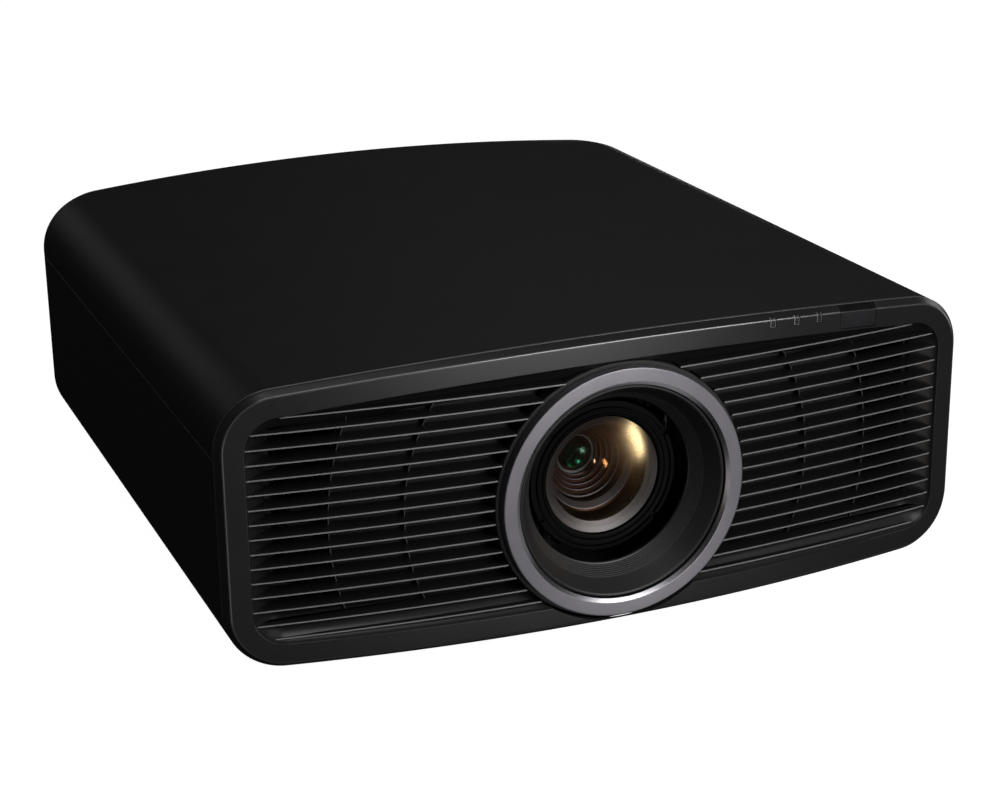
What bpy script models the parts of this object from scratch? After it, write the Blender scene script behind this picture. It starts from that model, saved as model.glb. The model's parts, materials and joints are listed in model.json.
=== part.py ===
"""Home cinema projector: casing, shifting zoom lens, optics, light source, cooling, boards and controls.

Drawn in millimetres and written out in metres. X runs to the right seen from the front, Y to the rear
and Z up. The origin is the centre of the footprint at table height, and the lens axis runs along Y.
"""

from math import asin, atan, atan2, cos, pi, radians, sin, sqrt

import bmesh
import bpy
from mathutils import Matrix, Vector

MM = 0.001

# Overall size
WIDTH = 450.0
DEPTH = 479.0
HEIGHT = 181.0
GAP = 0.3

# Casing section, seen from the front
HALF = WIDTH / 2
FLOOR = 12.2
TOP_ARCH = 2.4e-4
FLOOR_ARCH = 0.6e-4
TOP_RADIUS = 34.0
FLOOR_RADIUS = 33.0
REAR_FALL = 1.0
SMALLEST_RADIUS = 5.0
SEAM_Z = 135.0
SEAM_GAP = 0.6
WALL = 2.5

# Front and rear, seen from above
FRONT = -DEPTH / 2
REAR = DEPTH / 2
BOW_RADIUS = 1350.0
BOW_STEP = 50.0
BEZEL_FACE = FRONT + 1.3
CASE_FRONT_DEPTH = 5.9
CASE_REAR = REAR - 0.5
PLAN_RADIUS = 30.0
PLAN_SWEEP = 66.0

# Lens axis and louvres
LENS_Z = 89.0
BLADES = 16
BLADE_TOP = LENS_Z + 68.3
BLADE_PITCH = 8.37
BLADE_THICK = 1.2
BLADE_DEPTH = 2.1
BACK_DEPTH = 15.5
BACK_THICK = 2.0
RIB_RADII = (123.4, 165.0)
RIB_DEPTH = 9.5
VENT_END = 194.0
VENT_Z = (42.0, 146.0)
RECESS_CLEARANCE = ((-6.0, -2.0), (14.2, -2.0), (17.2, 2.1), (27.8, 13.2), (27.8, 15.2), (-6.0, 15.2))

# Lens opening
TRIM_RADIUS = 72.8
FLANGE_RADIUS = 75.5
HOOD_REAR_RADIUS = 49.3
SEAT_RADIUS = 73.6
SEAT_Y = -222.2

# Moving lens unit
FOCUS_Y = (-190.0, -182.0)
ZOOM_Y = (-149.0, -141.0)
RING_TEETH = 32
PINION_TEETH = 7
MODULE = 3.0
BARREL_RADIUS = 42.0
PINION_OFFSET = (RING_TEETH + PINION_TEETH) * MODULE / 2 * sin(pi / 4)
SCREW_RADIUS = 3.0
VERTICAL_SCREW = (88.0, -113.0)
HORIZONTAL_SCREW = (-121.0, 146.0)

# Feet and ceiling-mount bosses
FOOT_X = 165.0
FOOT_Y = (-150.0, 170.0)
FOOT_RADIUS = 15.0
BOSS_X = 140.0
BOSS_Y = (-100.0, 120.0)
BOSS_FACE = 10.5
BOSS_TOP = 18.7

# Cooling
FAN_X = 171.0
FAN_HALF = 40.0
FAN_Y = (-203.0, -183.0)
FAN_BORE = 37.5
FAN_BLADES = 7

# Optics and light source
PRISM_HALF = 13.0
WHEEL_X = 45.0
WHEEL_RADIUS = 30.0

# Rear panel
PANEL_Y = (235.0, 237.5)
FILTER_BOX = (-190.0, -86.0, 82.0, 154.0)
SOCKET_Z = 44.0
INLET_X = -150.0
KEY_CENTRE = (145.0, 50.0)
KEY_STEP = 13.0

CHASSIS_TOP = 21.0


# ---------------------------------------------------------------- drawing helpers


def clear_scene():
    for obj in list(bpy.data.objects):
        bpy.data.objects.remove(obj, do_unlink=True)


def material(name, colour, roughness, metallic=0.0, transmission=0.0):
    found = bpy.data.materials.get(name)
    if found:
        return found
    made = bpy.data.materials.new(name)
    made.use_nodes = True
    shader = made.node_tree.nodes["Principled BSDF"]
    shader.inputs["Base Color"].default_value = (*colour, 1.0)
    shader.inputs["Roughness"].default_value = roughness
    shader.inputs["Metallic"].default_value = metallic
    shader.inputs["Transmission Weight"].default_value = transmission
    return made


def empty(name, place, parent=None):
    made = bpy.data.objects.new(name, None)
    made.location = Vector(place) * MM
    bpy.context.scene.collection.objects.link(made)
    if parent:
        adopt(made, parent)
    return made


def adopt(child, parent):
    """Parents without moving: every group empty is unrotated, so places subtract."""
    place = Vector(child.location)
    above = parent
    while above:
        place -= above.location
        above = above.parent
    child.parent = parent
    child.location = place


def solid(name, shape, finish, pivot=(0, 0, 0), group=None):
    """Makes a named object from a bmesh drawn in millimetres, with its origin on `pivot`."""
    bmesh.ops.recalc_face_normals(shape, faces=shape.faces)
    shape.transform(Matrix.Scale(MM, 4) @ Matrix.Translation(-Vector(pivot)))
    mesh = bpy.data.meshes.new(name)
    shape.to_mesh(mesh)
    shape.free()
    made = bpy.data.objects.new(name, mesh)
    made.location = Vector(pivot) * MM
    bpy.context.scene.collection.objects.link(made)
    mesh.materials.append(finish)
    mesh.shade_smooth()
    mesh.set_sharp_from_angle(angle=radians(35))
    if group:
        adopt(made, group)
    return made


def boolean(target, shape, operation):
    """Joins or cuts with a hidden tool drawn in millimetres, whose own pieces don't touch."""
    tool = solid(f"{target.name}_{operation.lower()}_{len(target.modifiers)}", shape, target.data.materials[0])
    tool.hide_render = True
    tool.display_type = "WIRE"
    change = target.modifiers.new(operation.title(), "BOOLEAN")
    change.operation = operation
    change.object = tool


def cut(target, shape):
    boolean(target, shape, "DIFFERENCE")


def join(target, shape):
    boolean(target, shape, "UNION")


def add_box(shape, x0, x1, y0, y1, z0, z1):
    middle = Vector(((x0 + x1) / 2, (y0 + y1) / 2, (z0 + z1) / 2))
    size = Matrix.Diagonal((x1 - x0, y1 - y0, z1 - z0, 1.0))
    bmesh.ops.create_cube(shape, size=1.0, matrix=Matrix.Translation(middle) @ size)


def box(*sides):
    shape = bmesh.new()
    add_box(shape, *sides)
    return shape


def add_loft(shape, rings):
    """Joins equal closed rings of 3-D points in order and caps both ends."""
    rows = [[shape.verts.new(point) for point in ring] for ring in rings]
    for near, far in zip(rows, rows[1:]):
        for i in range(len(near)):
            j = (i + 1) % len(near)
            shape.faces.new((near[i], near[j], far[j], far[i]))
    shape.faces.new(list(reversed(rows[0])))
    shape.faces.new(rows[-1])


def add_turned(shape, profile, centre=(0.0, LENS_Z), steps=32):
    """Turns a closed outline of (radius, y) about the line along Y through `centre` (x, z)."""
    rings = []
    for radius, y in profile:
        if radius == 0:
            rings.append([shape.verts.new((centre[0], y, centre[1]))] * steps)
            continue
        turn = [2 * pi * i / steps for i in range(steps)]
        rings.append(
            [shape.verts.new((centre[0] + radius * cos(a), y, centre[1] + radius * sin(a))) for a in turn]
        )
    for near, far in zip(rings, rings[1:] + rings[:1]):
        for i in range(steps):
            j = (i + 1) % steps
            corners = list(dict.fromkeys((near[i], near[j], far[j], far[i])))
            if len(corners) > 2:
                shape.faces.new(corners)


def turned(profile, centre=(0.0, LENS_Z), steps=32):
    shape = bmesh.new()
    add_turned(shape, profile, centre, steps)
    return shape


def add_rod(shape, radius, start, end, steps=20):
    """A plain rod between two points, along any axis."""
    start, end = Vector(start), Vector(end)
    along = end - start
    turn = along.to_track_quat("Z", "Y").to_matrix().to_4x4()
    place = Matrix.Translation((start + end) / 2) @ turn
    bmesh.ops.create_cone(
        shape,
        cap_ends=True,
        segments=steps,
        radius1=radius,
        radius2=radius,
        depth=along.length,
        matrix=place,
    )


def cylinder(radius, y0, y1, centre=(0.0, LENS_Z), steps=20):
    """A plain rod along Y, about the line through `centre` (x, z)."""
    shape = bmesh.new()
    add_rod(shape, radius, (centre[0], y0, centre[1]), (centre[0], y1, centre[1]), steps)
    return shape


def add_rods(shape, radius, pairs, steps=20):
    for start, end in pairs:
        add_rod(shape, radius, start, end, steps)


# ---------------------------------------------------------------- casing outline


def bow(x):
    """How far the front face falls back at x."""
    return BOW_RADIUS - sqrt(BOW_RADIUS**2 - x**2)


def front_y(x, depth):
    return BEZEL_FACE + depth + bow(x)


def corner(inset, level, arch, radius, up):
    """Centre, radius and sweep of the arc joining the side to the arched top (up=1) or floor (up=-1)."""
    r = max(radius - inset, SMALLEST_RADIUS)
    cx = HALF - inset - r
    touch = cx
    for _ in range(8):
        slope = atan(2 * arch * touch)
        touch = cx + r * sin(slope)
    cz = level - up * (inset + arch * touch**2 + r * cos(slope))
    return cx, cz, r, pi / 2 - slope


def top_corner(inset):
    return corner(inset, HEIGHT, TOP_ARCH, TOP_RADIUS, 1)


def floor_corner(inset):
    return corner(inset, FLOOR, FLOOR_ARCH, FLOOR_RADIUS, -1)


def half_run(inset, up, arc_steps, arch_steps):
    """Points (x, z) from the side's corner to the middle of the top or floor."""
    cx, cz, r, sweep = top_corner(inset) if up > 0 else floor_corner(inset)
    level, arch = (HEIGHT, TOP_ARCH) if up > 0 else (FLOOR, FLOOR_ARCH)
    points = []
    for i in range(arc_steps + 1):
        a = sweep * i / arc_steps
        points.append((cx + r * cos(a), cz + up * r * sin(a)))
    end = points[-1][0]
    for i in range(1, arch_steps + 1):
        x = end * (1 - i / arch_steps)
        points.append((x, level - up * (inset + arch * x**2)))
    return points


def full_run(inset, up, arc_steps=6, arch_steps=4):
    """Points (x, z) from the right seam over the top, or under the floor, to the left seam."""
    right = half_run(inset, up, arc_steps, arch_steps)
    seam = [(HALF - inset, SEAM_Z + up * SEAM_GAP / 2)]
    points = seam + right
    return points + [(-x, z) for x, z in reversed(points[:-1])]


def outline(inset, arc_steps=6, arch_steps=5):
    """Closed loop (x, z) round the whole casing section, drawn `inset` inside its surface."""
    upper = half_run(inset, 1, arc_steps, arch_steps)
    lower = half_run(inset, -1, arc_steps, arch_steps)
    right = list(reversed(lower)) + upper
    return right + [(-x, z) for x, z in reversed(right[1:-1])]


def height_at(inset, x, up):
    """Height of the section's top (up=1) or floor (up=-1) at x."""
    cx, cz, r, sweep = top_corner(inset) if up > 0 else floor_corner(inset)
    if abs(x) > cx + r * cos(sweep):
        return cz + up * sqrt(max(r**2 - (abs(x) - cx) ** 2, 0.0))
    level, arch = (HEIGHT, TOP_ARCH) if up > 0 else (FLOOR, FLOOR_ARCH)
    return level - up * (inset + arch * x**2)


# ---------------------------------------------------------------- casing


def case_stations():
    """(y, sideways shrink, edge drop) from the front rim to the rear rim; y is None at the bowed front."""
    start = CASE_REAR - PLAN_RADIUS * sin(radians(PLAN_SWEEP))
    stations = [(None, 0.0, 0.0), (start - 150, 0.0, 0.0)]
    for degrees in (0, 16, 32, 46, 57, PLAN_SWEEP):
        a = radians(degrees)
        y = start + PLAN_RADIUS * sin(a)
        drop = max(0.0, y - CASE_REAR + 3.0) ** 2 / 6
        stations.append((y, PLAN_RADIUS * (1 - cos(a)), drop))
    return stations


def case_shell(up):
    """Half of the casing as one wall thickness, open at the front, the rear and the seam."""
    shape = bmesh.new()
    outer, inner = full_run(0.0, up), full_run(WALL, up)
    rings = []
    for y, shrink, drop in case_stations():
        ring = []
        for x, z in outer + list(reversed(inner)):
            place = front_y(x, CASE_FRONT_DEPTH) if y is None else y
            squeeze = 1 - shrink / HALF
            share = abs(z - SEAM_Z) / (HEIGHT - SEAM_Z)
            fall = drop + REAR_FALL * (place - FRONT) / DEPTH if up > 0 else -drop
            ring.append((x * squeeze, place, z - fall * share))
        rings.append(ring)
    rows = [[shape.verts.new(point) for point in ring] for ring in rings]
    count = len(rows[0])
    for near, far in zip(rows, rows[1:]):
        for i in range(count):
            j = (i + 1) % count
            shape.faces.new((near[i], near[j], far[j], far[i]))
    for row in (rows[0], rows[-1]):
        for i in range(count // 2 - 1):
            shape.faces.new((row[i], row[i + 1], row[count - 2 - i], row[count - 1 - i]))
    return shape


def make_top_cover(group):
    solid("top_cover", case_shell(1), matte_black(), group=group)


def make_bottom_case(group):
    case = solid("bottom_case", case_shell(-1), matte_black(), group=group)
    bosses = bmesh.new()
    for side in (-1, 1):
        for y in FOOT_Y:
            x = side * FOOT_X
            add_rod(bosses, FOOT_RADIUS - 1, (x, y, 8.3), (x, y, BOSS_TOP), 14)
        for y in BOSS_Y:
            x = side * BOSS_X
            add_rod(bosses, 8.0, (x, y, BOSS_FACE), (x, y, BOSS_TOP), 12)
    join(case, bosses)
    holes = bmesh.new()
    for side in (-1, 1):
        for y in FOOT_Y:
            x = side * FOOT_X
            add_rod(holes, 4.4, (x, y, 0), (x, y, 25), 12)
        for y in BOSS_Y:
            x = side * BOSS_X
            add_rod(holes, 2.6, (x, y, 5), (x, y, 17), 8)
    cut(case, holes)
    cut(case, lens_well(SEAT_Y + 0.5))


def make_front_bezel(group):
    """Rounded frame whose inner wall slopes back to the louvres, with a lip that enters the casing."""
    profile = (
        (0.0, 5.4),
        (0.0, 4.9),
        (3.5, 0.3),
        (4.0, 0.0),
        (13.2, 0.0),
        (14.0, 0.4),
        (16.9, 2.4),
        (27.4, 13.4),
        (27.4, 14.8),
        (25.0, 14.8),
        (16.0, 4.6),
        (12.0, 3.0),
        (6.0, 3.0),
        (6.0, 14.0),
        (3.4, 14.0),
        (3.4, 5.4),
    )
    bezel = solid("front_bezel", bezel_sweep(profile), satin_black(), group=group)
    blades = bmesh.new()
    add_bezel_blade(blades, BLADE_TOP, 1)
    add_bezel_blade(blades, BLADE_TOP - (BLADES - 1) * BLADE_PITCH, -1)
    join(bezel, blades)
    window = ((-1.0, -1.0), (13.2, -1.0), (13.2, 3.2), (3.35, 3.2), (3.35, 6.0), (-1.0, 6.0))
    holes = bmesh.new()
    add_top_sweep(holes, window, IR_WINDOW_X)
    for x in INDICATOR_X:
        add_top_sweep(holes, ((0.9, -1.0), (8.9, -1.0), (8.9, 3.4), (0.9, 3.4)), (x - 1.6, x + 1.6))
    cut(bezel, holes)
    cut(bezel, lens_well(SEAT_Y + 3.5))


def bezel_sweep(profile):
    """Sweeps a closed (inset, depth) outline all the way round the front of the casing."""
    shape = bmesh.new()
    loops = []
    for inset, depth in profile:
        loops.append([shape.verts.new((x, front_y(x, depth), z)) for x, z in outline(inset)])
    for near, far in zip(loops, loops[1:] + loops[:1]):
        for i in range(len(near)):
            j = (i + 1) % len(near)
            shape.faces.new((near[i], near[j], far[j], far[i]))
    return shape


IR_WINDOW_X = (137.5, 144.0, 150.5, 156.5, 162.8)
INDICATOR_X = (92.1, 107.8, 123.1)


def add_top_sweep(shape, profile, stations):
    """Sweeps an (inset, depth) outline along the bezel's top edge through the x stations."""
    rings = []
    for x in stations:
        rings.append([(x, front_y(x, depth), height_at(inset, x, 1)) for inset, depth in profile])
    add_loft(shape, rings)


def make_ir_window(group):
    shape = bmesh.new()
    x0, *middle, x1 = IR_WINDOW_X
    profile = (
        (0.0, 5.1),
        (0.0, 4.9),
        (3.5, 0.3),
        (4.0, 0.0),
        (12.9, 0.0),
        (12.9, 2.6),
        (3.0, 2.6),
        (3.0, 5.1),
    )
    add_top_sweep(shape, profile, (x0 + GAP, *middle, x1 - GAP))
    solid("ir_window", shape, smoked_plastic(), group=group)


def make_indicator_light_pipe(group):
    """One clear moulding: a rail behind the bezel with a tip through each of its three slots."""
    shape = bmesh.new()
    stations = [INDICATOR_X[0] - 3 + i * (INDICATOR_X[-1] - INDICATOR_X[0] + 6) / 4 for i in range(5)]
    add_top_sweep(shape, ((6.5, 3.6), (8.5, 3.6), (8.5, 5.0), (6.5, 5.0)), stations)
    pipe = solid("indicator_light_pipe", shape, clear_plastic(), group=group)
    tips = bmesh.new()
    tip = ((3.9, 0.1), (8.4, 0.1), (8.4, 4.4), (6.7, 4.4), (6.7, 2.7), (1.8, 2.7), (1.8, 1.35))
    for x in INDICATOR_X:
        add_top_sweep(tips, tip, (x - 1.2, x + 1.2))
    join(pipe, tips)


def make_louvre_grille(group):
    """Curved back wall, full-width blades and bent ribs in one moulding, with the lens opening."""
    shape = bmesh.new()
    rings = []
    for x in bow_stations(204.0):
        top, low = height_at(18.0, x, 1), height_at(18.0, x, -1)
        near, far = front_y(x, BACK_DEPTH), front_y(x, BACK_DEPTH + BACK_THICK)
        rings.append([(x, near, low), (x, near, top), (x, far, top), (x, far, low)])
    add_loft(shape, rings)
    grille = solid("louvre_grille", shape, satin_black(), group=group)
    blades = bmesh.new()
    for i in range(1, BLADES - 1):
        z = BLADE_TOP - i * BLADE_PITCH
        add_blade(blades, z, reach_at(14.0, z), lambda x: BACK_DEPTH + 0.4)
    join(grille, blades)
    ribs = bmesh.new()
    for radius in RIB_RADII:
        for side in (-1, 1):
            add_rib(ribs, side, radius)
    join(grille, ribs)
    join(grille, cylinder(SEAT_RADIUS, SEAT_Y - 0.6, SEAT_Y + 2.8, steps=48))
    cut(grille, bezel_sweep(RECESS_CLEARANCE))
    cut(grille, lens_well(SEAT_Y))
    cut(grille, cylinder(SEAT_RADIUS - 9, SEAT_Y - 5, SEAT_Y + 9, steps=48))
    vents = bmesh.new()
    for side in (-1, 1):
        add_vent(vents, side)
    cut(grille, vents)


def lens_well(end):
    """Round space that the lens surround fills, cut back from the front to y = end."""
    return cylinder(FLANGE_RADIUS + 0.4, FRONT - 5, end, steps=48)


def reach_at(inset, z):
    """How far from the middle a blade at height z stays inside the section drawn `inset` inside."""
    x = HALF - inset
    while not height_at(inset, x, -1) <= z <= height_at(inset, x, 1):
        x -= 0.2
    return x


def bow_stations(end):
    """x from end to -end in the steps that every bowed piece of the front shares."""
    steps = [BOW_STEP * i for i in range(-4, 5) if BOW_STEP * abs(i) < end - 4]
    return [end, *reversed(steps), -end]


def add_blade(shape, z, wide, depth_at):
    """One bowed blade, `wide` to each side, whose back edge lies at depth_at(x)."""
    rings = []
    for x in bow_stations(wide):
        near, far, low = front_y(x, BLADE_DEPTH), front_y(x, depth_at(x)), z - BLADE_THICK
        rings.append([(x, near, low), (x, near, z), (x, far, z), (x, far, low)])
    add_loft(shape, rings)


def add_bezel_blade(shape, z, up):
    """The top or bottom blade, which grows out of the bezel's sloping wall."""
    level = z if up > 0 else z - BLADE_THICK

    def depth_at(x):
        inset = abs(height_at(0.0, x, up) - level)
        return 4.4 + 1.13 * max(inset - 17.5, -1.0)

    add_blade(shape, z, reach_at(15.5, level), depth_at)


def add_rib(shape, side, radius):
    """A rib bent round the lens, standing off the back wall behind the blades' front edges."""
    steps = 6
    high = height_at(20.0, radius, 1) - LENS_Z
    low = height_at(20.0, radius, -1) - LENS_Z
    rings = []
    for i in range(steps + 1):
        z = low + (high - low) * i / steps
        x = side * sqrt(radius**2 - z**2)
        near, far = front_y(x, RIB_DEPTH), front_y(x, BACK_DEPTH + 0.6)
        rings.append([(xx, y, LENS_Z + z) for y in (near, far) for xx in (x - 0.6, x + 0.6)])
        rings[-1][2:] = reversed(rings[-1][2:])
    add_loft(shape, rings)


def add_vent(shape, side):
    """Opening through the back wall between the outer rib and the side."""
    low, high = VENT_Z
    rings = []
    for i in range(7):
        z = low + (high - low) * i / 6
        inner = sqrt(RIB_RADII[1] ** 2 - (z - LENS_Z) ** 2) + 2.0
        across = [side * x for x in (inner, (inner + VENT_END) / 2, VENT_END)]
        ring = [(x, front_y(x, BACK_DEPTH - 0.2), z) for x in across]
        rings.append(ring + [(x, front_y(x, BACK_DEPTH + 6), z) for x in reversed(across)])
    add_loft(shape, rings)


# ---------------------------------------------------------------- lens surround


def make_lens_hood(group):
    """Black cone with an outer flange that carries the bright ring and rests on the louvres' seat."""
    back = SEAT_Y - GAP
    profile = (
        (61.9, FRONT + 2.6),
        (60.0, FRONT + 3.8),
        (55.1, FRONT + 12.0),
        (HOOD_REAR_RADIUS, FRONT + 21.3),
        (HOOD_REAR_RADIUS, FRONT + 23.5),
        (HOOD_REAR_RADIUS + 2, FRONT + 23.5),
        (58.0, FRONT + 12.5),
        (62.0, FRONT + 8.0),
        (70.0, FRONT + 8.0),
        (70.0, back),
        (FLANGE_RADIUS - 0.5, back),
        (FLANGE_RADIUS, back - 1.0),
        (FLANGE_RADIUS, FRONT + 6.6),
        (FLANGE_RADIUS - 0.7, FRONT + 5.8),
        (62.5, FRONT + 5.8),
    )
    solid("lens_hood", turned(profile, steps=40), matte_black(), group=group)


def make_lens_trim_ring(group):
    profile = (
        (66.1, FRONT),
        (72.1, FRONT),
        (TRIM_RADIUS, FRONT + 0.7),
        (TRIM_RADIUS, FRONT + 5.5),
        (62.8, FRONT + 5.5),
        (62.8, FRONT + 2.0),
    )
    solid("lens_trim_ring", turned(profile, steps=48), satin_metal(), group=group)


# ---------------------------------------------------------------- lens unit


def gear_outline(teeth, outward=1.0, turn=0.0):
    """Closed tooth outline (radius, angle), with short teeth that leave backlash."""
    pitch = teeth * MODULE / 2
    root, tip = pitch - 0.95 * MODULE, pitch + 0.65 * MODULE
    step = 2 * pi / teeth
    points = []
    for i in range(teeth):
        a = turn + i * step
        for radius, part in ((root, -0.26), (tip, -0.11), (tip, 0.11), (root, 0.26)):
            points.append((radius, a + outward * part * step))
    return points


def gear(teeth, centre, y0, y1, bore, turn):
    """A spur gear about Y, as a ring when it has a bore and as a pinion on a shaft when it has none."""
    shape = bmesh.new()
    teeth_line = gear_outline(teeth, turn=turn)
    rings = []
    for y in (y0, y1):
        rings.append([(centre[0] + r * cos(a), y, centre[1] + r * sin(a)) for r, a in teeth_line])
    if not bore:
        add_loft(shape, rings)
        return shape
    rows = [[shape.verts.new(point) for point in ring] for ring in rings]
    inner = []
    for y in (y0, y1):
        line = [(centre[0] + bore * cos(a), y, centre[1] + bore * sin(a)) for _, a in teeth_line]
        inner.append([shape.verts.new(point) for point in line])
    for a, b in ((rows[0], rows[1]), (rows[1], inner[1]), (inner[1], inner[0]), (inner[0], rows[0])):
        for i in range(len(a)):
            j = (i + 1) % len(a)
            shape.faces.new((a[i], a[j], b[j], b[i]))
    return shape


def make_lens_barrel(group):
    profile = (
        (BARREL_RADIUS, -192.5),
        (BARREL_RADIUS, -117.5),
        (36.0, -117.5),
        (36.0, -75.0),
        (24.0, -75.0),
        (24.0, -118.0),
        (33.4, -118.0),
        (33.4, -166.0),
        (40.4, -166.0),
        (40.4, -192.5),
    )
    solid("lens_barrel", turned(profile), anodised_black(), group=group)


def make_front_group(group):
    """The cell that slides to focus: front ring, glass seat and sleeve, and the big meniscus glass."""
    cell = (
        (34.8, -210.2),
        (45.0, -210.2),
        (45.0, -198.0),
        (40.0, -198.0),
        (40.0, -172.0),
        (37.6, -172.0),
        (37.6, -186.0),
        (25.5, -186.0),
        (25.5, -191.0),
        (30.6, -197.0),
        (30.6, -200.0),
        (35.2, -200.0),
        (35.2, -207.0),
        (34.8, -207.3),
    )
    pivot = (0, -200, LENS_Z)
    solid("front_cell", turned(cell), anodised_black(), pivot, group)
    rim, glass = 34.9, []
    for i in range(5):
        r = rim * i / 4
        glass.append((r, -209.5 + 3.2 * (r / rim) ** 2))
    glass.append((rim, -200.3))
    for i in range(4, -1, -1):
        r = 30.0 * i / 4
        glass.append((r, -204.4 + 4.1 * (r / 30.0) ** 2))
    solid("front_element", turned(glass), lens_glass(), pivot, group)


def make_variator_cell(group):
    profile = (
        (33.0, -160.0),
        (33.0, -135.0),
        (22.0, -135.0),
        (20.0, -148.0),
        (24.0, -160.0),
    )
    solid("variator_cell", turned(profile), anodised_black(), (0, -148, LENS_Z), group)


def make_gear_train(name, ring_group, pinion_group, motor_group, side, ring_y, shaft_end, can_y):
    """A toothed ring round the barrel, its pinion and the fixed motor that turns the pinion."""
    centre = (side * PINION_OFFSET, LENS_Z + PINION_OFFSET)
    toward = pi / 4 if side > 0 else 3 * pi / 4
    ring = gear(RING_TEETH, (0.0, LENS_Z), *ring_y, BARREL_RADIUS + 0.4, toward)
    solid(f"{name}_ring", ring, anodised_black(), (0, ring_y[0], LENS_Z), ring_group)
    half_tooth = pi / PINION_TEETH
    pinion_turn = toward + pi + half_tooth
    shape = gear(PINION_TEETH, centre, *ring_y, None, pinion_turn)
    pinion = solid(f"{name}_pinion", shape, brass(), (centre[0], ring_y[0], centre[1]), pinion_group)
    near = min(ring_y, key=lambda y: abs(y - shaft_end))
    start = near - 1.0 if shaft_end > near else near + 1.0
    join(pinion, cylinder(2.0, *sorted((start, shaft_end)), centre, 16))
    motor = solid(f"{name}_motor", cylinder(9.0, *can_y, centre, 20), steel(), group=motor_group)
    arm = bmesh.new()
    along = Vector((cos(toward), 0, sin(toward)))
    axis = Vector((0, -163.0, LENS_Z))
    add_rod(arm, 5.0, axis + along * (BARREL_RADIUS + 0.4), axis + along * 52.0, 12)
    join(motor, arm)
    deep = sorted((shaft_end + (1.0 if shaft_end > near else -1.0), near))
    cut(motor, cylinder(2.4, *deep, centre, 16))


def make_lens_mount_frame(group):
    x, y = VERTICAL_SCREW
    frame = solid("lens_mount_frame", box(-98, 98, -108, -103, 21.3, 160), zinc_sheet(), group=group)
    cut(frame, box(-58, 58, -112, -98, 32, 147))
    lugs = bmesh.new()
    add_box(lugs, 80, 96, -121, -107, 26, 32)
    add_box(lugs, 80, 96, -121, -107, 146, 152)
    add_box(lugs, -98, 98, -104, -82, 21.3, 24.3)
    join(frame, lugs)
    can = bmesh.new()
    add_rod(can, 8.0, (x, y - 1, 151), (x, y - 1, 168), 24)
    join(frame, can)
    hole = bmesh.new()
    add_rod(hole, SCREW_RADIUS + GAP, (x, y, 25), (x, y, 160))
    cut(frame, hole)


def make_vertical_carriage(group):
    y, z = HORIZONTAL_SCREW
    pivot = (0, -113, LENS_Z)
    carriage = solid("vertical_carriage", box(-76, 76, -116, -110, 33, 145), aluminium(), pivot, group)
    extra = bmesh.new()
    add_box(extra, 75, 95, -119, -109.5, 83, 95)
    add_box(extra, -84, -60, -128, -115, 139.6, 152.4)
    add_box(extra, 68, 76, -127, -115, 139.6, 152)
    join(carriage, extra)
    holes = bmesh.new()
    add_rod(holes, 50.0, (0, -120, LENS_Z), (0, -105, LENS_Z), 40)
    add_rod(holes, SCREW_RADIUS + GAP, (VERTICAL_SCREW[0], VERTICAL_SCREW[1], 80), (*VERTICAL_SCREW, 98))
    add_rod(holes, SCREW_RADIUS + GAP, (-80, y, z), (80, y, z))
    cut(carriage, holes)


def make_horizontal_carriage(group):
    y, z = HORIZONTAL_SCREW
    carriage = solid("horizontal_carriage", box(-54, 54, -124, -118, 37, 139), aluminium(), (0, -121, LENS_Z), group)
    join(carriage, box(-8, 8, -126, -116.6, 138, 151))
    holes = bmesh.new()
    add_rod(holes, BARREL_RADIUS + 0.4, (0, -130, LENS_Z), (0, -112, LENS_Z), 40)
    add_rod(holes, SCREW_RADIUS + GAP, (-12, y, z), (12, y, z))
    cut(carriage, holes)


def make_shift_screws(vertical_group, horizontal_group):
    x, y = VERTICAL_SCREW
    shape = bmesh.new()
    add_rod(shape, SCREW_RADIUS, (x, y, 26.5), (x, y, 159.5))
    solid("vertical_shift_screw", shape, steel(), (x, y, LENS_Z), vertical_group)
    y, z = HORIZONTAL_SCREW
    shape = bmesh.new()
    add_rod(shape, SCREW_RADIUS, (-79.5, y, z), (75.5, y, z))
    solid("horizontal_shift_screw", shape, steel(), (0, y, z), horizontal_group)


# ---------------------------------------------------------------- optics and light source


def make_prism_block(group):
    """Colour-combining cube with a beam-splitting cube cemented to three of its sides."""
    half, arm = PRISM_HALF, 3 * PRISM_HALF
    y = -58.0
    line = (
        (-half, y),
        (half, y),
        (arm, y),
        (arm, y + 2 * half),
        (half, y + 2 * half),
        (half, y + 4 * half),
        (-half, y + 4 * half),
        (-half, y + 2 * half),
        (-arm, y + 2 * half),
        (-arm, y),
    )
    shape = bmesh.new()
    add_loft(shape, [[(x, yy, z) for x, yy in line] for z in (LENS_Z - half, LENS_Z + half)])
    solid("prism_block", shape, optical_glass(), group=group)


def make_imaging_panel(name, centre, heading, group):
    """A reflective imaging chip on its carrier, with a small finned cooler behind it."""
    shape = bmesh.new()
    comb = [(-15, 3.0), (-15, 0.0), (15, 0.0), (15, 3.0)]
    fins = 6
    for i in range(fins, 0, -1):
        middle = -15 + 30 * (i - 0.5) / fins
        comb += [(middle + 1, 3.0), (middle + 1, 12.0), (middle - 1, 12.0), (middle - 1, 3.0)]
    turn = Matrix.Translation(Vector(centre)) @ Matrix.Rotation(radians(heading), 4, "Z")
    rings = [[turn @ Vector((x, y, z)) for x, y in comb] for z in (-15, 15)]
    add_loft(shape, rings)
    solid(name, shape, aluminium(), centre, group)


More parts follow.
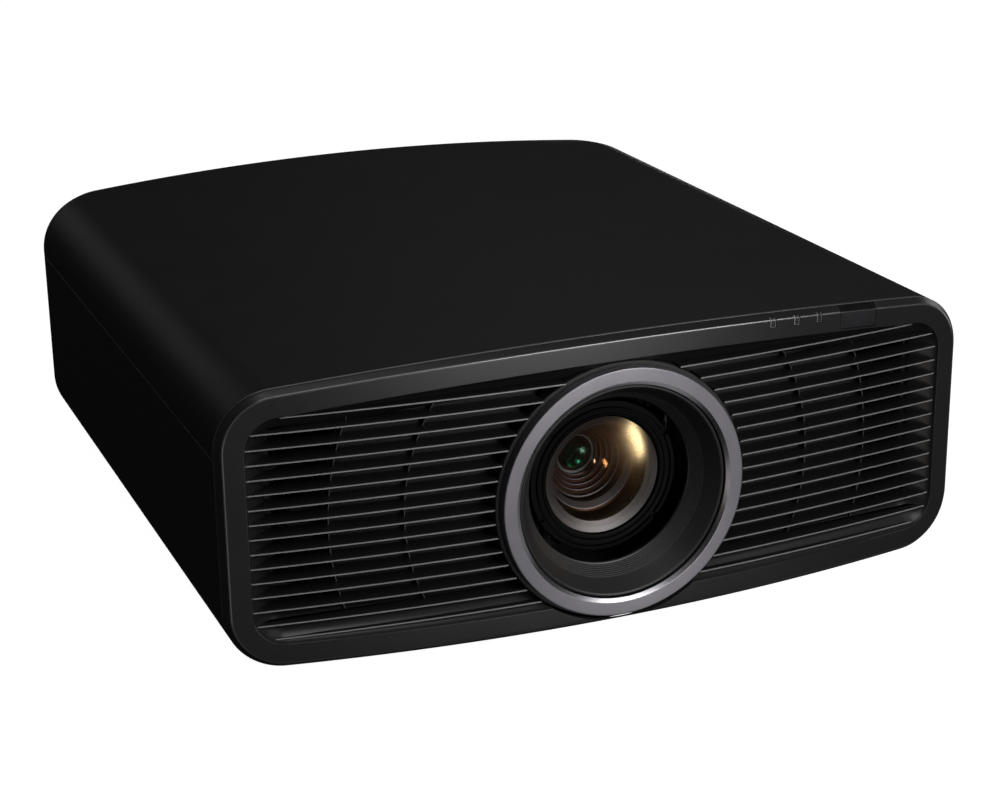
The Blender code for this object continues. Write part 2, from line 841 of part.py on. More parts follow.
def make_optical_engine(group):
    """Open-topped cast tray on legs, with a port for the lens and one for the light."""
    tray = solid("optical_engine", box(-75, 75, -70, 62, 58, 120), cast_metal(), group=group)
    cut(tray, box(-72, 72, -67, 59, 61, 125))
    ports = bmesh.new()
    add_rod(ports, 30.0, (0, -75, LENS_Z), (0, -60, LENS_Z), 32)
    add_rod(ports, 9.0, (WHEEL_X, 55, LENS_Z + 18), (WHEEL_X, 66, LENS_Z + 18), 24)
    cut(tray, ports)
    legs = bmesh.new()
    for x in (-70, 62):
        for y in (-66, 50):
            add_box(legs, x, x + 8, y, y + 8, 21.3, 59)
    add_box(legs, -36, 36, -56, -34, 60, LENS_Z - PRISM_HALF - GAP)
    join(tray, legs)


def make_light_source(group, wheel_group):
    """Laser bank with a bracket that carries the wheel motor, and the phosphor wheel it lights."""
    laser = solid("laser_module", box(85, 165, 66, 140, 35, 115), cast_metal(), group=group)
    arm = bmesh.new()
    add_box(arm, WHEEL_X - 9, 86, 101, 112, LENS_Z - 9, LENS_Z + 9)
    join(laser, arm)
    join(laser, cylinder(9.0, 93.0, 102.0, (WHEEL_X, LENS_Z), 24))
    cut(laser, cylinder(2.4, 80.0, 99.0, (WHEEL_X, LENS_Z), 16))
    legs = bmesh.new()
    for x in (87, 155):
        for y in (68, 130):
            add_box(legs, x, x + 8, y, y + 8, 21.3, 36)
    join(laser, legs)
    wheel = (
        (0, 79.0),
        (8.0, 79.0),
        (8.0, 83.0),
        (WHEEL_RADIUS, 83.0),
        (WHEEL_RADIUS, 84.5),
        (10.0, 84.5),
        (10.0, 92.4),
        (2.0, 92.4),
        (2.0, 98.0),
        (0, 98.0),
    )
    pivot = (WHEEL_X, 83.0, LENS_Z)
    solid("phosphor_wheel", turned(wheel, (WHEEL_X, LENS_Z), 28), aluminium(), pivot, wheel_group)


def make_heat_sink(group):
    """Finned block in the outgoing air, with two heat pipes that run back to the laser bank."""
    x0, x1, base, top = 128.0, 206.0, 45.0, 128.0
    fins = 11
    pitch = (x1 - x0 - 2) / (fins - 1)
    comb = [(x0, base), (x1, base)]
    for i in range(fins - 1, -1, -1):
        left = x0 + i * pitch
        comb += [(left + 2, base + 4), (left + 2, top), (left, top), (left, base + 4)]
    comb = comb[:2] + comb[3:-1]
    shape = bmesh.new()
    add_loft(shape, [[(x, y, z) for x, z in comb] for y in (-165, -60)])
    sink = solid("heat_sink", shape, aluminium(), group=group)
    pipes = bmesh.new()
    add_rods(pipes, 4.0, [((x, -150, 43.5), (x, 65.6, 43.5)) for x in (138, 152)], 16)
    join(sink, pipes)
    legs = bmesh.new()
    for y in (-160, -72):
        add_box(legs, 180, 188, y, y + 8, 21.3, 46)
        add_box(legs, 128, 132, y, y + 8, 21.3, 46)
    join(sink, legs)


# ---------------------------------------------------------------- cooling fans


def make_fan(side, name, group, rotor_group):
    x, (y0, y1) = side * FAN_X, FAN_Y
    frame = solid(
        f"{name}_frame",
        box(x - FAN_HALF, x + FAN_HALF, y0, y1, LENS_Z - FAN_HALF, LENS_Z + FAN_HALF),
        matte_black(),
        group=group,
    )
    cut(frame, cylinder(FAN_BORE, y0 - 1, y1 + 1, (x, LENS_Z), 32))
    struts = bmesh.new()
    for i in range(3):
        a = pi / 2 + 2 * pi * i / 3
        place = Matrix.Translation((x, y1 - 1.5, LENS_Z)) @ Matrix.Rotation(-a, 4, "Y")
        place = place @ Matrix.Translation((26, 0, 0)) @ Matrix.Diagonal((30, 3, 4, 1))
        bmesh.ops.create_cube(struts, size=1.0, matrix=place)
    join(frame, struts)
    join(frame, cylinder(15.0, y1 - 4.0, y1, (x, LENS_Z), 24))
    cut(frame, cylinder(2.4, y1 - 5.0, y1 - 1.0, (x, LENS_Z), 16))
    legs = bmesh.new()
    for leg in (-38, 22):
        add_box(legs, x + side * leg - 3, x + side * leg + 3, y0 + 1, y1 - 1, CHASSIS_TOP + GAP, 50)
    join(frame, legs)
    hub = ((0, y0 + 1), (12.0, y0 + 1), (14.0, y0 + 3), (14.0, y1 - 5), (2.0, y1 - 5), (2.0, y1 - 2), (0, y1 - 2))
    pivot = (x, y0 + 8, LENS_Z)
    rotor = solid(f"{name}_rotor", turned(hub, (x, LENS_Z), 20), matte_black(), pivot, rotor_group)
    blades = bmesh.new()
    for i in range(FAN_BLADES):
        add_fan_blade(blades, x, (y0 + y1) / 2 - 2, 2 * pi * i / FAN_BLADES)
    join(rotor, blades)


def add_fan_blade(shape, x, y, turn):
    """A twisted blade from inside the hub to just inside the bore."""
    rings = []
    for radius, pitch, chord in ((12.5, 52, 12.0), (24.0, 40, 15.0), (FAN_BORE - 1.2, 30, 17.0)):
        ring = []
        for along, thick in ((-1, -0.8), (1, -0.8), (1, 0.8), (-1, 0.8)):
            side = along * chord / 2 * cos(radians(pitch)) - thick * sin(radians(pitch))
            rise = along * chord / 2 * sin(radians(pitch)) + thick * cos(radians(pitch))
            reach = sqrt(max(radius**2 - side**2, 0.0))
            a = turn + atan2(side, reach)
            ring.append((x + radius * cos(a), y + rise, LENS_Z + radius * sin(a)))
        rings.append(ring)
    add_loft(shape, rings)


# ---------------------------------------------------------------- chassis and boards


def make_chassis_plate(group):
    plate = solid("chassis_plate", box(-200, 200, -203, 218, 19, CHASSIS_TOP), zinc_sheet(), group=group)
    slots = bmesh.new()
    for i in range(5):
        add_box(slots, -40, 40, -30 + 28 * i, -18 + 28 * i, 15, 25)
    cut(plate, slots)


def make_power_supply(group):
    board = solid("power_supply", box(-205, -112, -165, 70, 30, 32), circuit_board(), group=group)
    parts = bmesh.new()
    add_box(parts, -190, -150, -140, -98, 31.5, 68)
    add_box(parts, -138, -128, -150, -60, 31.5, 72)
    add_box(parts, -195, -165, -40, 0, 31.5, 60)
    add_box(parts, -150, -120, 20, 55, 31.5, 52)
    for x, y in ((-185, -75), (-155, -75), (-145, -30)):
        add_rod(parts, 12.0, (x, y, 31.5), (x, y, 66))
    add_rods(parts, 4.0, [((x, y, 21.3), (x, y, 31.5)) for x in (-195, -119) for y in (-158, 63)], 12)
    join(board, parts)


def make_main_board(group):
    board = solid("main_board", box(-80, 80, 116, 219, 33, 35), circuit_board(), group=group)
    parts = bmesh.new()
    add_box(parts, -30, 10, 140, 180, 34.5, 38)
    add_box(parts, -30, 10, 185, 200, 34.5, 37)
    add_box(parts, 30, 52, 150, 172, 34.5, 44)
    add_box(parts, -68, -50, 125, 165, 34.5, 46)
    add_rods(parts, 4.0, [((x, y, 21.3), (x, y, 34.5)) for x in (-74, 74) for y in (122, 200)], 12)
    join(board, parts)


# ---------------------------------------------------------------- rear panel, sockets, keys and filter


def panel_outline():
    squeeze = 1 - PLAN_RADIUS * (1 - cos(radians(PLAN_SWEEP))) / HALF
    fall = REAR_FALL / (HEIGHT - SEAM_Z)
    return [(x * squeeze, z - fall * max(z - SEAM_Z, 0.0)) for x, z in outline(WALL + 1.9, 4, 4)]


SOCKETS = {
    "hdmi_socket_1": (-60.0, 15.0, 6.6, 14.0, 4.7),
    "hdmi_socket_2": (-35.0, 15.0, 6.6, 14.0, 4.7),
    "lan_socket": (-8.0, 16.0, 13.5, 11.8, 8.4),
    "serial_socket": (25.0, 19.0, 11.0, 16.6, 8.2),
}
TRIGGER_X = 53.6
FLANGE_EDGES = (-73.5, -47.5, -21.2, 6.3, 43.7, 63.5)
FLANGE_HALF = 14.0
SLOT_ROWS = 9
SLOT_PITCH = 7.8


def key_places():
    x, z = KEY_CENTRE
    return {
        "key_ok": (x, z, 5.0),
        "key_up": (x, z + KEY_STEP, 3.8),
        "key_down": (x, z - KEY_STEP, 3.8),
        "key_left": (x - KEY_STEP, z, 3.8),
        "key_right": (x + KEY_STEP, z, 3.8),
        "key_power": (x - 33, z + 12, 4.2),
        "key_input": (x - 33, z - 12, 4.2),
        "key_menu": (x + 33, z + 12, 4.2),
        "key_back": (x + 33, z - 12, 4.2),
    }


def make_rear_panel(group):
    y0, y1 = PANEL_Y
    shape = bmesh.new()
    add_loft(shape, [[(x, y, z) for x, z in panel_outline()] for y in (y0, y1)])
    panel = solid("rear_panel", shape, matte_black(), group=group)
    holes = bmesh.new()
    x0, x1, z0, z1 = FILTER_BOX
    add_box(holes, x0, x1, y0 - 2, y1 + 2, z0, z1)
    for i in range(SLOT_ROWS):
        z = z0 + 3 + i * SLOT_PITCH
        add_box(holes, -x1, -x0, y0 - 2, y1 + 2, z, z + 4.5)
    add_box(holes, FLANGE_EDGES[0], FLANGE_EDGES[-1], y0 - 2, y1 + 2, *around(SOCKET_Z, FLANGE_HALF))
    add_box(holes, *around(INLET_X, 14.3), y0 - 2, y1 + 2, *around(SOCKET_Z, 10.3))
    for x, z, radius in key_places().values():
        add_rod(holes, radius + 0.4, (x, y0 - 2, z), (x, y1 + 2, z), 12)
    cut(panel, holes)


def around(middle, reach):
    return middle - reach, middle + reach


def make_sockets(group):
    """Sockets whose shield flanges sit side by side in one opening of the panel, and the mains inlet."""
    y1 = PANEL_Y[1] + 0.8
    for i, (name, (x, wide, high, hole_wide, hole_high)) in enumerate(SOCKETS.items()):
        shape = box(*around(x, wide / 2), y1 - 18, y1, *around(SOCKET_Z, high / 2))
        socket = solid(name, shape, socket_metal(), group=group)
        join(socket, flange(i))
        cut(socket, box(*around(x, hole_wide / 2), y1 - 12, y1 + 2, *around(SOCKET_Z, hole_high / 2)))
    jack = cylinder(4.0, y1 - 16, y1, (TRIGGER_X, SOCKET_Z), 20)
    trigger = solid("trigger_socket", jack, socket_metal(), group=group)
    join(trigger, flange(len(SOCKETS)))
    cut(trigger, cylinder(1.8, y1 - 13, y1 + 2, (TRIGGER_X, SOCKET_Z), 16))
    inlet = solid("ac_inlet", box(*around(INLET_X, 14), y1 - 26, y1, *around(SOCKET_Z, 10)), gloss_black(), group=group)
    cut(inlet, box(*around(INLET_X, 12.2), y1 - 16, y1 + 2, *around(SOCKET_Z, 8.2)))


def flange(i):
    """Sheet flange round the i-th socket."""
    x0, x1 = FLANGE_EDGES[i] + GAP, FLANGE_EDGES[i + 1] - GAP
    return box(x0, x1, PANEL_Y[1] - 1.4, PANEL_Y[1] - 0.1, *around(SOCKET_Z, FLANGE_HALF - GAP))


def make_key(name, x, z, radius, group):
    y0, y1 = PANEL_Y
    profile = (
        (0, y0 - 2.6),
        (radius + 1.2, y0 - 2.6),
        (radius + 1.2, y0 - GAP),
        (radius, y0 - GAP),
        (radius, y1 + 1.3),
        (radius - 0.5, y1 + 1.8),
        (0, y1 + 1.8),
    )
    solid(name, turned(profile, (x, z), 12), matte_black(), (x, y1, z), group)


def make_filter(group):
    """Slotted cover whose frame holds the pleated filter; the two pull out of the rear panel together."""
    x0, x1, z0, z1 = FILTER_BOX
    y1 = PANEL_Y[1]
    pivot = ((x0 + x1) / 2, y1, (z0 + z1) / 2)
    shape = box(x0 - 2, x1 + 2, y1 + GAP, REAR, z0 - 2, z1 + 2)
    cover = solid("filter_cover", shape, matte_black(), pivot, group)
    join(cover, box(x0 + 0.4, x1 - 0.4, y1 - 10, y1 + 1, z0 + 0.4, z1 - 0.4))
    cut(cover, box(x0 + 2.4, x1 - 2.4, y1 - 12, y1 - 0.5, z0 + 2.4, z1 - 2.4))
    slots = bmesh.new()
    for i in range(SLOT_ROWS):
        z = z0 + 3 + i * SLOT_PITCH
        add_box(slots, x0 + 5, x1 - 5, y1 - 3, REAR + 2, z, z + 4.5)
    cut(cover, slots)
    pleats = 13
    wide = x1 - x0 - 6
    front, back = [], []
    for i in range(2 * pleats + 1):
        x = x0 + 3 + wide * i / (2 * pleats)
        y = y1 - 9.5 if i % 2 else y1 - 3.5
        front.append((x, y))
        back.append((x, y + 1.6))
    media = bmesh.new()
    line = front + list(reversed(back))
    add_loft(media, [[(x, y, z) for x, y in line] for z in (z0 + 3, z1 - 3)])
    solid("air_filter", media, filter_paper(), pivot, group)


def make_foot(name, x, y, group):
    """Levelling foot: rubber-faced pad on a stud that screws down out of the casing's boss."""
    shape = bmesh.new()
    add_rod(shape, FOOT_RADIUS, (x, y, 0), (x, y, 8), 28)
    foot = solid(name, shape, rubber(), (x, y, 8), group)
    stud = bmesh.new()
    add_rod(stud, 4.0, (x, y, 7), (x, y, 18), 20)
    join(foot, stud)


# ---------------------------------------------------------------- materials


def matte_black():
    return material("matte_black_plastic", (0.012, 0.012, 0.013), 0.55)


def satin_black():
    return material("satin_black_plastic", (0.018, 0.018, 0.019), 0.42)


def gloss_black():
    return material("gloss_black_plastic", (0.01, 0.01, 0.01), 0.2)


def smoked_plastic():
    return material("smoked_window", (0.006, 0.005, 0.007), 0.08)


def clear_plastic():
    return material("clear_light_pipe", (0.75, 0.78, 0.8), 0.15, transmission=0.8)


def satin_metal():
    return material("satin_aluminium_ring", (0.42, 0.41, 0.43), 0.32, 1.0)


def anodised_black():
    return material("anodised_black", (0.02, 0.02, 0.022), 0.4, 0.6)


def lens_glass():
    return material("coated_glass", (0.95, 0.97, 1.0), 0.02, transmission=1.0)


def optical_glass():
    return material("optical_glass", (0.9, 0.94, 0.98), 0.03, transmission=0.9)


def aluminium():
    return material("aluminium", (0.72, 0.73, 0.75), 0.38, 1.0)


def cast_metal():
    return material("cast_magnesium", (0.3, 0.3, 0.31), 0.5, 0.8)


def steel():
    return material("bright_steel", (0.6, 0.6, 0.62), 0.3, 1.0)


def zinc_sheet():
    return material("zinc_plated_sheet", (0.55, 0.57, 0.58), 0.42, 1.0)


def brass():
    return material("brass", (0.78, 0.58, 0.26), 0.3, 1.0)


def socket_metal():
    return material("nickel_socket", (0.5, 0.5, 0.5), 0.3, 1.0)


def circuit_board():
    return material("circuit_board", (0.02, 0.12, 0.05), 0.45)


def filter_paper():
    return material("filter_paper", (0.75, 0.75, 0.7), 0.9)


def rubber():
    return material("rubber", (0.015, 0.015, 0.015), 0.8)


# ---------------------------------------------------------------- assembly


def build_casing(casing):
    make_top_cover(casing)
    make_bottom_case(casing)
    make_front_bezel(casing)
    make_louvre_grille(casing)
    make_lens_hood(casing)
    make_lens_trim_ring(casing)
    make_ir_window(casing)
    make_indicator_light_pipe(casing)
    make_rear_panel(casing)
    make_sockets(casing)
    for name, (x, z, radius) in key_places().items():
        make_key(name, x, z, radius, casing)
    make_filter(casing)
    for end, y in zip(("front", "rear"), FOOT_Y):
        for side, x in (("left", -FOOT_X), ("right", FOOT_X)):
            make_foot(f"foot_{end}_{side}", x, y, casing)


def build_lens_unit(casing):
    vertical = empty("vertical_shift_axis", (0, VERTICAL_SCREW[1], LENS_Z), casing)
    horizontal = empty("horizontal_shift_axis", (0, HORIZONTAL_SCREW[0], LENS_Z), vertical)
    make_lens_mount_frame(casing)
    make_vertical_carriage(vertical)
    make_horizontal_carriage(horizontal)
    make_shift_screws(casing, vertical)
    make_lens_barrel(horizontal)
    make_front_group(horizontal)
    make_variator_cell(horizontal)
    make_gear_train("focus", horizontal, horizontal, horizontal, 1, FOCUS_Y, -172.0, (-176.0, -150.0))
    make_gear_train("zoom", horizontal, horizontal, horizontal, -1, ZOOM_Y, -160.0, (-176.0, -153.0))


def build_inside(casing):
    make_chassis_plate(casing)
    make_prism_block(casing)
    make_imaging_panel("imaging_panel_green", (0, -5.7, LENS_Z), 0, casing)
    make_imaging_panel("imaging_panel_red", (-39.3, -45, LENS_Z), 90, casing)
    make_imaging_panel("imaging_panel_blue", (39.3, -45, LENS_Z), -90, casing)
    make_optical_engine(casing)
    make_light_source(casing, casing)
    make_heat_sink(casing)
    make_fan(-1, "exhaust_fan_left", casing, casing)
    make_fan(1, "exhaust_fan_right", casing, casing)
    make_power_supply(casing)
    make_main_board(casing)


def main():
    clear_scene()
    casing = empty("casing", (0, 0, 0))
    build_casing(casing)
    build_lens_unit(casing)
    build_inside(casing)


main()
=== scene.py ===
"""Looks of the home cinema projector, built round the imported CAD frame.

Shapes are drawn in millimetres in the frame's own axes and written out in metres: X to the right seen
from the front, Y to the rear, Z up. The lens axis runs along Y.
"""

import json
from math import atan, cos, pi, radians, sin, sqrt

import bmesh
import bpy
from mathutils import Matrix, Quaternion, Vector

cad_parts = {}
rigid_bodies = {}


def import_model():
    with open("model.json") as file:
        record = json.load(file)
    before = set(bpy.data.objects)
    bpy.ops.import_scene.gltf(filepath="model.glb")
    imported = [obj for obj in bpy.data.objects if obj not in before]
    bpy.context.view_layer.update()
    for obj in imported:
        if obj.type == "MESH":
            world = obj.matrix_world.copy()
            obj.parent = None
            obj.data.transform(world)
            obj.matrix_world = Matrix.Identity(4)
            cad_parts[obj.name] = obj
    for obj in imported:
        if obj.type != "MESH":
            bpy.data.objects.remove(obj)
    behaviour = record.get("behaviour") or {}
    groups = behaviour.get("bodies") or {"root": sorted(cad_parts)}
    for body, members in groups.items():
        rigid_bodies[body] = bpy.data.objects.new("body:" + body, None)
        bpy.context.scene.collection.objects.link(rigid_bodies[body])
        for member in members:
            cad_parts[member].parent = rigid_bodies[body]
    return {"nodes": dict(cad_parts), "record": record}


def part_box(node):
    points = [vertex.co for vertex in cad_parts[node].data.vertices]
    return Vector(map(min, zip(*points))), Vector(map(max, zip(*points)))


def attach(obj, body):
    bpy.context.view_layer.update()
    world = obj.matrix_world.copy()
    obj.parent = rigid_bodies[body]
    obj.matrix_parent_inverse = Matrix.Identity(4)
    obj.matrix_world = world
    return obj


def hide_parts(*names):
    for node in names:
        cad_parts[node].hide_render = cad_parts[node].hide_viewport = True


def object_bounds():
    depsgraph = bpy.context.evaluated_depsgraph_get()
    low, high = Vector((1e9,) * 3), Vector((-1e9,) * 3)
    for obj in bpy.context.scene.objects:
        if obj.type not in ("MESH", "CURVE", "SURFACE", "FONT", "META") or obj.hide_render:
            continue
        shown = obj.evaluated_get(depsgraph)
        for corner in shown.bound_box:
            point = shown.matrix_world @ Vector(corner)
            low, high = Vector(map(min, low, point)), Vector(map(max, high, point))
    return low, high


MM = 0.001

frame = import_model()
CAD_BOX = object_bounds()
BODY_OF = {node: body for body, nodes in frame["record"]["behaviour"]["bodies"].items() for node in nodes}


def span(node):
    """A CAD node's lowest and highest corner at rest, in millimetres."""
    low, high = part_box(node)
    return low / MM, high / MM


# ---------------------------------------------------------------- dimensions

HALF = CAD_BOX[1].x / MM
FRONT = CAD_BOX[0].y / MM
REAR = CAD_BOX[1].y / MM
DEPTH = REAR - FRONT
HEIGHT = CAD_BOX[1].z / MM
LENS_Z = (span("lens_trim_ring")[0].z + span("lens_trim_ring")[1].z) / 2

FLOOR = 12.2
TOP_ARCH, FLOOR_ARCH = 2.4e-4, 0.6e-4
TOP_RADIUS, FLOOR_RADIUS = 34.0, 33.0
REAR_FALL = 1.0
SMALLEST_RADIUS = 5.0
SEAM_Z = 135.0
SEAM_GAP = 0.4
WALL = 2.5
BOW_RADIUS = 1350.0
BEZEL_FACE = FRONT + 1.3
CASE_FRONT_DEPTH = 5.0
CASE_REAR = REAR - 0.5
PLAN_RADIUS, PLAN_SWEEP = 30.0, 66.0

BLADES = 16
BLADE_TOP = LENS_Z + 68.3
BLADE_PITCH = 8.37
BLADE_THICK = 1.2
WALL_DEPTH = 15.4
RIB_RADII = (123.4, 165.0)
VENT_Z = (42.0, 146.0)
VENT_END = 194.0
RIB_DEPTH = 11.2
FLANGE_RADIUS = 75.5
WELL_RADIUS = 75.9
CASE_WELL_Y, BEZEL_WELL_Y, GRILLE_WELL_Y = -221.7, -218.7, -210.0

FOOT_X, FOOT_Y = 165.0, (-150.0, 170.0)
BOSS_X, BOSS_Y = 140.0, (-100.0, 120.0)
FEET = [(x, y) for x in (-FOOT_X, FOOT_X) for y in FOOT_Y]
BOSSES = [(x, y) for x in (-BOSS_X, BOSS_X) for y in BOSS_Y]
CASE_SCREWS = [(x, y + step) for x in (-196.0, 196.0) for y in BOSS_Y for step in (-34.0, 34.0)]

PANEL_Y = (235.0, 237.5)
FILTER_BOX = (-190.0, -86.0, 82.0, 154.0)
SLOT_ROWS, SLOT_PITCH, SLOT_HEIGHT = 9, 7.8, 4.5
SOCKET_Z, HDMI_X, LAN_X, SERIAL_X = 44.0, (-60.0, -35.0), -8.0, 25.0
KEY_FIELD = (97.0, 193.0, 27.5, 72.5)
KEY_FLANGE = 1.2
PANEL_SCREWS = ((-203, 60), (203, 84), (-82, 24), (82, 24), (-82, 160), (82, 168))
IR_WINDOW_X = (137.5, 162.8)
INDICATOR_X = (92.1, 107.8, 123.1)
SHARP, GLASS_SHARP = 32, 50


# ---------------------------------------------------------------- mesh helpers


def spread(start, end, steps):
    """Evenly spaced values from start to end, both included."""
    return [start + (end - start) * i / steps for i in range(steps + 1)]


def as_object(name, shape):
    """Turns a bmesh drawn in millimetres into a linked mesh object in metres."""
    shape.transform(Matrix.Scale(MM, 4))
    mesh = bpy.data.meshes.new(name)
    shape.to_mesh(mesh)
    shape.free()
    made = bpy.data.objects.new(name, mesh)
    bpy.context.scene.collection.objects.link(made)
    return made


def add_piece(name, shape, finishes, body, replaced=(), pick=None, sharp=SHARP, place=True):
    """Makes a smooth-shaded piece from a bmesh in millimetres and ties it to its CAD body."""
    bmesh.ops.recalc_face_normals(shape, faces=shape.faces)
    if pick:  # answers whether a face takes the second finish
        for face in shape.faces:
            face.material_index = int(pick(face))
    piece = as_object(name, shape)
    for finish in finishes if isinstance(finishes, (list, tuple)) else [finishes]:
        piece.data.materials.append(finish)
    shade(piece, sharp)
    if place:
        settle(piece, body, replaced)
    return piece


def shade(piece, sharp=SHARP):
    """Smooth shading, broken where faces meet at more than `sharp` degrees."""
    piece.data.shade_smooth()
    piece.data.set_sharp_from_angle(angle=radians(sharp))


def steady(piece):
    """Keeps big faces flat in the shading, so that only the small rounded edges turn."""
    change = piece.modifiers.new("steady", "WEIGHTED_NORMAL")
    change.keep_sharp = True
    change.weight = 100


def settle(piece, body, replaced=(), flat=True):
    """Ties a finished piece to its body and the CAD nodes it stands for."""
    if flat:
        steady(piece)
    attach(piece, body)
    if replaced:
        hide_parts(*replaced)


def carve(piece, *tools, operation="DIFFERENCE"):
    """Cuts a piece with bmesh tools, keeps the result as its mesh and drops the tools."""
    for shape in tools:
        bmesh.ops.recalc_face_normals(shape, faces=shape.faces)
        tool = as_object("tool", shape)
        change = piece.modifiers.new("carve", "BOOLEAN")
        change.operation = operation
        change.solver = "EXACT"
        change.object = tool
        bpy.context.view_layer.update()
        graph = bpy.context.evaluated_depsgraph_get()
        made = bpy.data.meshes.new_from_object(piece.evaluated_get(graph))
        piece.modifiers.clear()
        spent, piece.data = (piece.data, tool.data), made
        bpy.data.objects.remove(tool)
        for mesh in spent:
            bpy.data.meshes.remove(mesh)
    shade(piece)


def soften(piece, width, segments=2, angle=38):
    """Rounds a piece's sharp edges, so that each catches a thin line of light."""
    change = piece.modifiers.new("soften", "BEVEL")
    change.width = width * MM
    change.segments = segments
    change.limit_method = "ANGLE"
    change.angle_limit = radians(angle)
    change.harden_normals = True
    change.use_clamp_overlap = True


def add_box(shape, x0, x1, y0, y1, z0, z1):
    middle = Vector(((x0 + x1) / 2, (y0 + y1) / 2, (z0 + z1) / 2))
    size = Matrix.Diagonal((x1 - x0, y1 - y0, z1 - z0, 1.0))
    bmesh.ops.create_cube(shape, size=1.0, matrix=Matrix.Translation(middle) @ size)


def box(*sides):
    shape = bmesh.new()
    add_box(shape, *sides)
    return shape


def add_plate(shape, x0, x1, y0, y1, z0, z1, radius, steps=6):
    """A slab along Y whose outline has rounded corners."""
    line = rounded(x0, x1, z0, z1, radius, steps)
    add_loft(shape, [[(x, y, z) for x, z in line] for y in (y0, y1)])


def rounded(x0, x1, z0, z1, radius, steps=6):
    points = []
    for cx, cz, start in ((x1, z1, 0), (x0, z1, 90), (x0, z0, 180), (x1, z0, 270)):
        mx = cx - radius if cx == x1 else cx + radius
        mz = cz - radius if cz == z1 else cz + radius
        for i in range(steps + 1):
            a = radians(start + 90 * i / steps)
            points.append((mx + radius * cos(a), mz + radius * sin(a)))
    return points


def add_loft(shape, rings, closed=False):
    """Joins equal closed rings of points in order, and caps both ends unless it closes on itself."""
    rows = [[shape.verts.new(point) for point in ring] for ring in rings]
    for near, far in zip(rows, rows[1:] + (rows[:1] if closed else [])):
        for i in range(len(near)):
            j = (i + 1) % len(near)
            shape.faces.new((near[i], near[j], far[j], far[i]))
    if not closed:
        shape.faces.new(list(reversed(rows[0])))
        shape.faces.new(rows[-1])


def add_turned(shape, profile, centre=(0.0, LENS_Z), steps=96, axis="Y"):
    """Turns a closed outline of (radius, height along the axis) about a line along Y, or along Z."""
    rings = []
    turn = [2 * pi * i / steps for i in range(steps)]
    for radius, h in profile:
        around = [(centre[0] + radius * cos(a), centre[1] + radius * sin(a)) for a in turn]
        spots = [(u, h, v) if axis == "Y" else (u, v, h) for u, v in around]
        if radius == 0:
            rings.append([shape.verts.new(spots[0])] * steps)
        else:
            rings.append([shape.verts.new(spot) for spot in spots])
    for near, far in zip(rings, rings[1:] + rings[:1]):
        for i in range(steps):
            j = (i + 1) % steps
            corners = list(dict.fromkeys((near[i], near[j], far[j], far[i])))
            if len(corners) > 2:
                shape.faces.new(corners)


def shifted(y, outline):
    """An outline of (radius, height) moved along the axis to start from y."""
    return [(radius, y + h) for radius, h in outline]


def turned(profile, centre=(0.0, LENS_Z), steps=96, axis="Y"):
    shape = bmesh.new()
    add_turned(shape, profile, centre, steps, axis)
    return shape


def rod(radius, h0, h1):
    """Outline of a cylinder, to be turned."""
    return ((0, h0), (radius, h0), (radius, h1), (0, h1))


def lens_well(y):
    """The round well that the lens surround sits in, open to the front and ending at y."""
    return turned(rod(WELL_RADIUS, FRONT - 5, y))


# ---------------------------------------------------------------- casing section


def bow(x):
    """How far the front falls back at x."""
    return BOW_RADIUS - sqrt(BOW_RADIUS**2 - x**2)


def front_y(x, depth):
    return BEZEL_FACE + depth + bow(x)


def corner(inset, up):
    """Centre, radius and sweep of the arc joining the side to the arched top (up=1) or floor (up=-1)."""
    level, arch, radius = (HEIGHT, TOP_ARCH, TOP_RADIUS) if up > 0 else (FLOOR, FLOOR_ARCH, FLOOR_RADIUS)
    r = max(radius - inset, SMALLEST_RADIUS)
    cx = HALF - inset - r
    touch = cx
    for _ in range(8):
        slope = atan(2 * arch * touch)
        touch = cx + r * sin(slope)
    cz = level - up * (inset + arch * touch**2 + r * cos(slope))
    return cx, cz, r, pi / 2 - slope


def arch_z(inset, x, up):
    """Height of the arched top (up=1) or floor (up=-1) at x, between its corners."""
    level, arch = (HEIGHT, TOP_ARCH) if up > 0 else (FLOOR, FLOOR_ARCH)
    return level - up * (inset + arch * x**2)


def half_run(inset, up, arc_steps, arch_steps):
    """Points (x, z) from the side's corner to the middle of the top or floor."""
    cx, cz, r, sweep = corner(inset, up)
    points = [(cx + r * cos(a), cz + up * r * sin(a)) for a in spread(0, sweep, arc_steps)]
    flat = spread(0, points[-1][0], arch_steps)[:-1]
    return points + [(x, arch_z(inset, x, up)) for x in reversed(flat)]


def full_run(inset, up, arc_steps=22, arch_steps=16):
    """Points (x, z) from the right seam over the top, or under the floor, to the left seam."""
    edge = 0.35 if inset < 1 else 0.0
    seam = SEAM_Z + up * SEAM_GAP / 2
    right = [(HALF - inset - edge, seam), (HALF - inset, seam + up * 0.35)]
    right += half_run(inset, up, arc_steps, arch_steps)
    return right + [(-x, z) for x, z in reversed(right[:-1])]


def outline(inset, arc_steps=22, arch_steps=30):
    """Closed loop (x, z) round the whole casing section, drawn `inset` inside its surface."""
    upper = half_run(inset, 1, arc_steps, arch_steps)
    lower = half_run(inset, -1, arc_steps, arch_steps)
    right = list(reversed(lower)) + upper
    return right + [(-x, z) for x, z in reversed(right[1:-1])]


def height_at(inset, x, up):
    """Height of the section's top (up=1) or floor (up=-1) at x."""
    cx, cz, r, sweep = corner(inset, up)
    if abs(x) > cx + r * cos(sweep):
        return cz + up * sqrt(max(r**2 - (abs(x) - cx) ** 2, 0.0))
    return arch_z(inset, x, up)


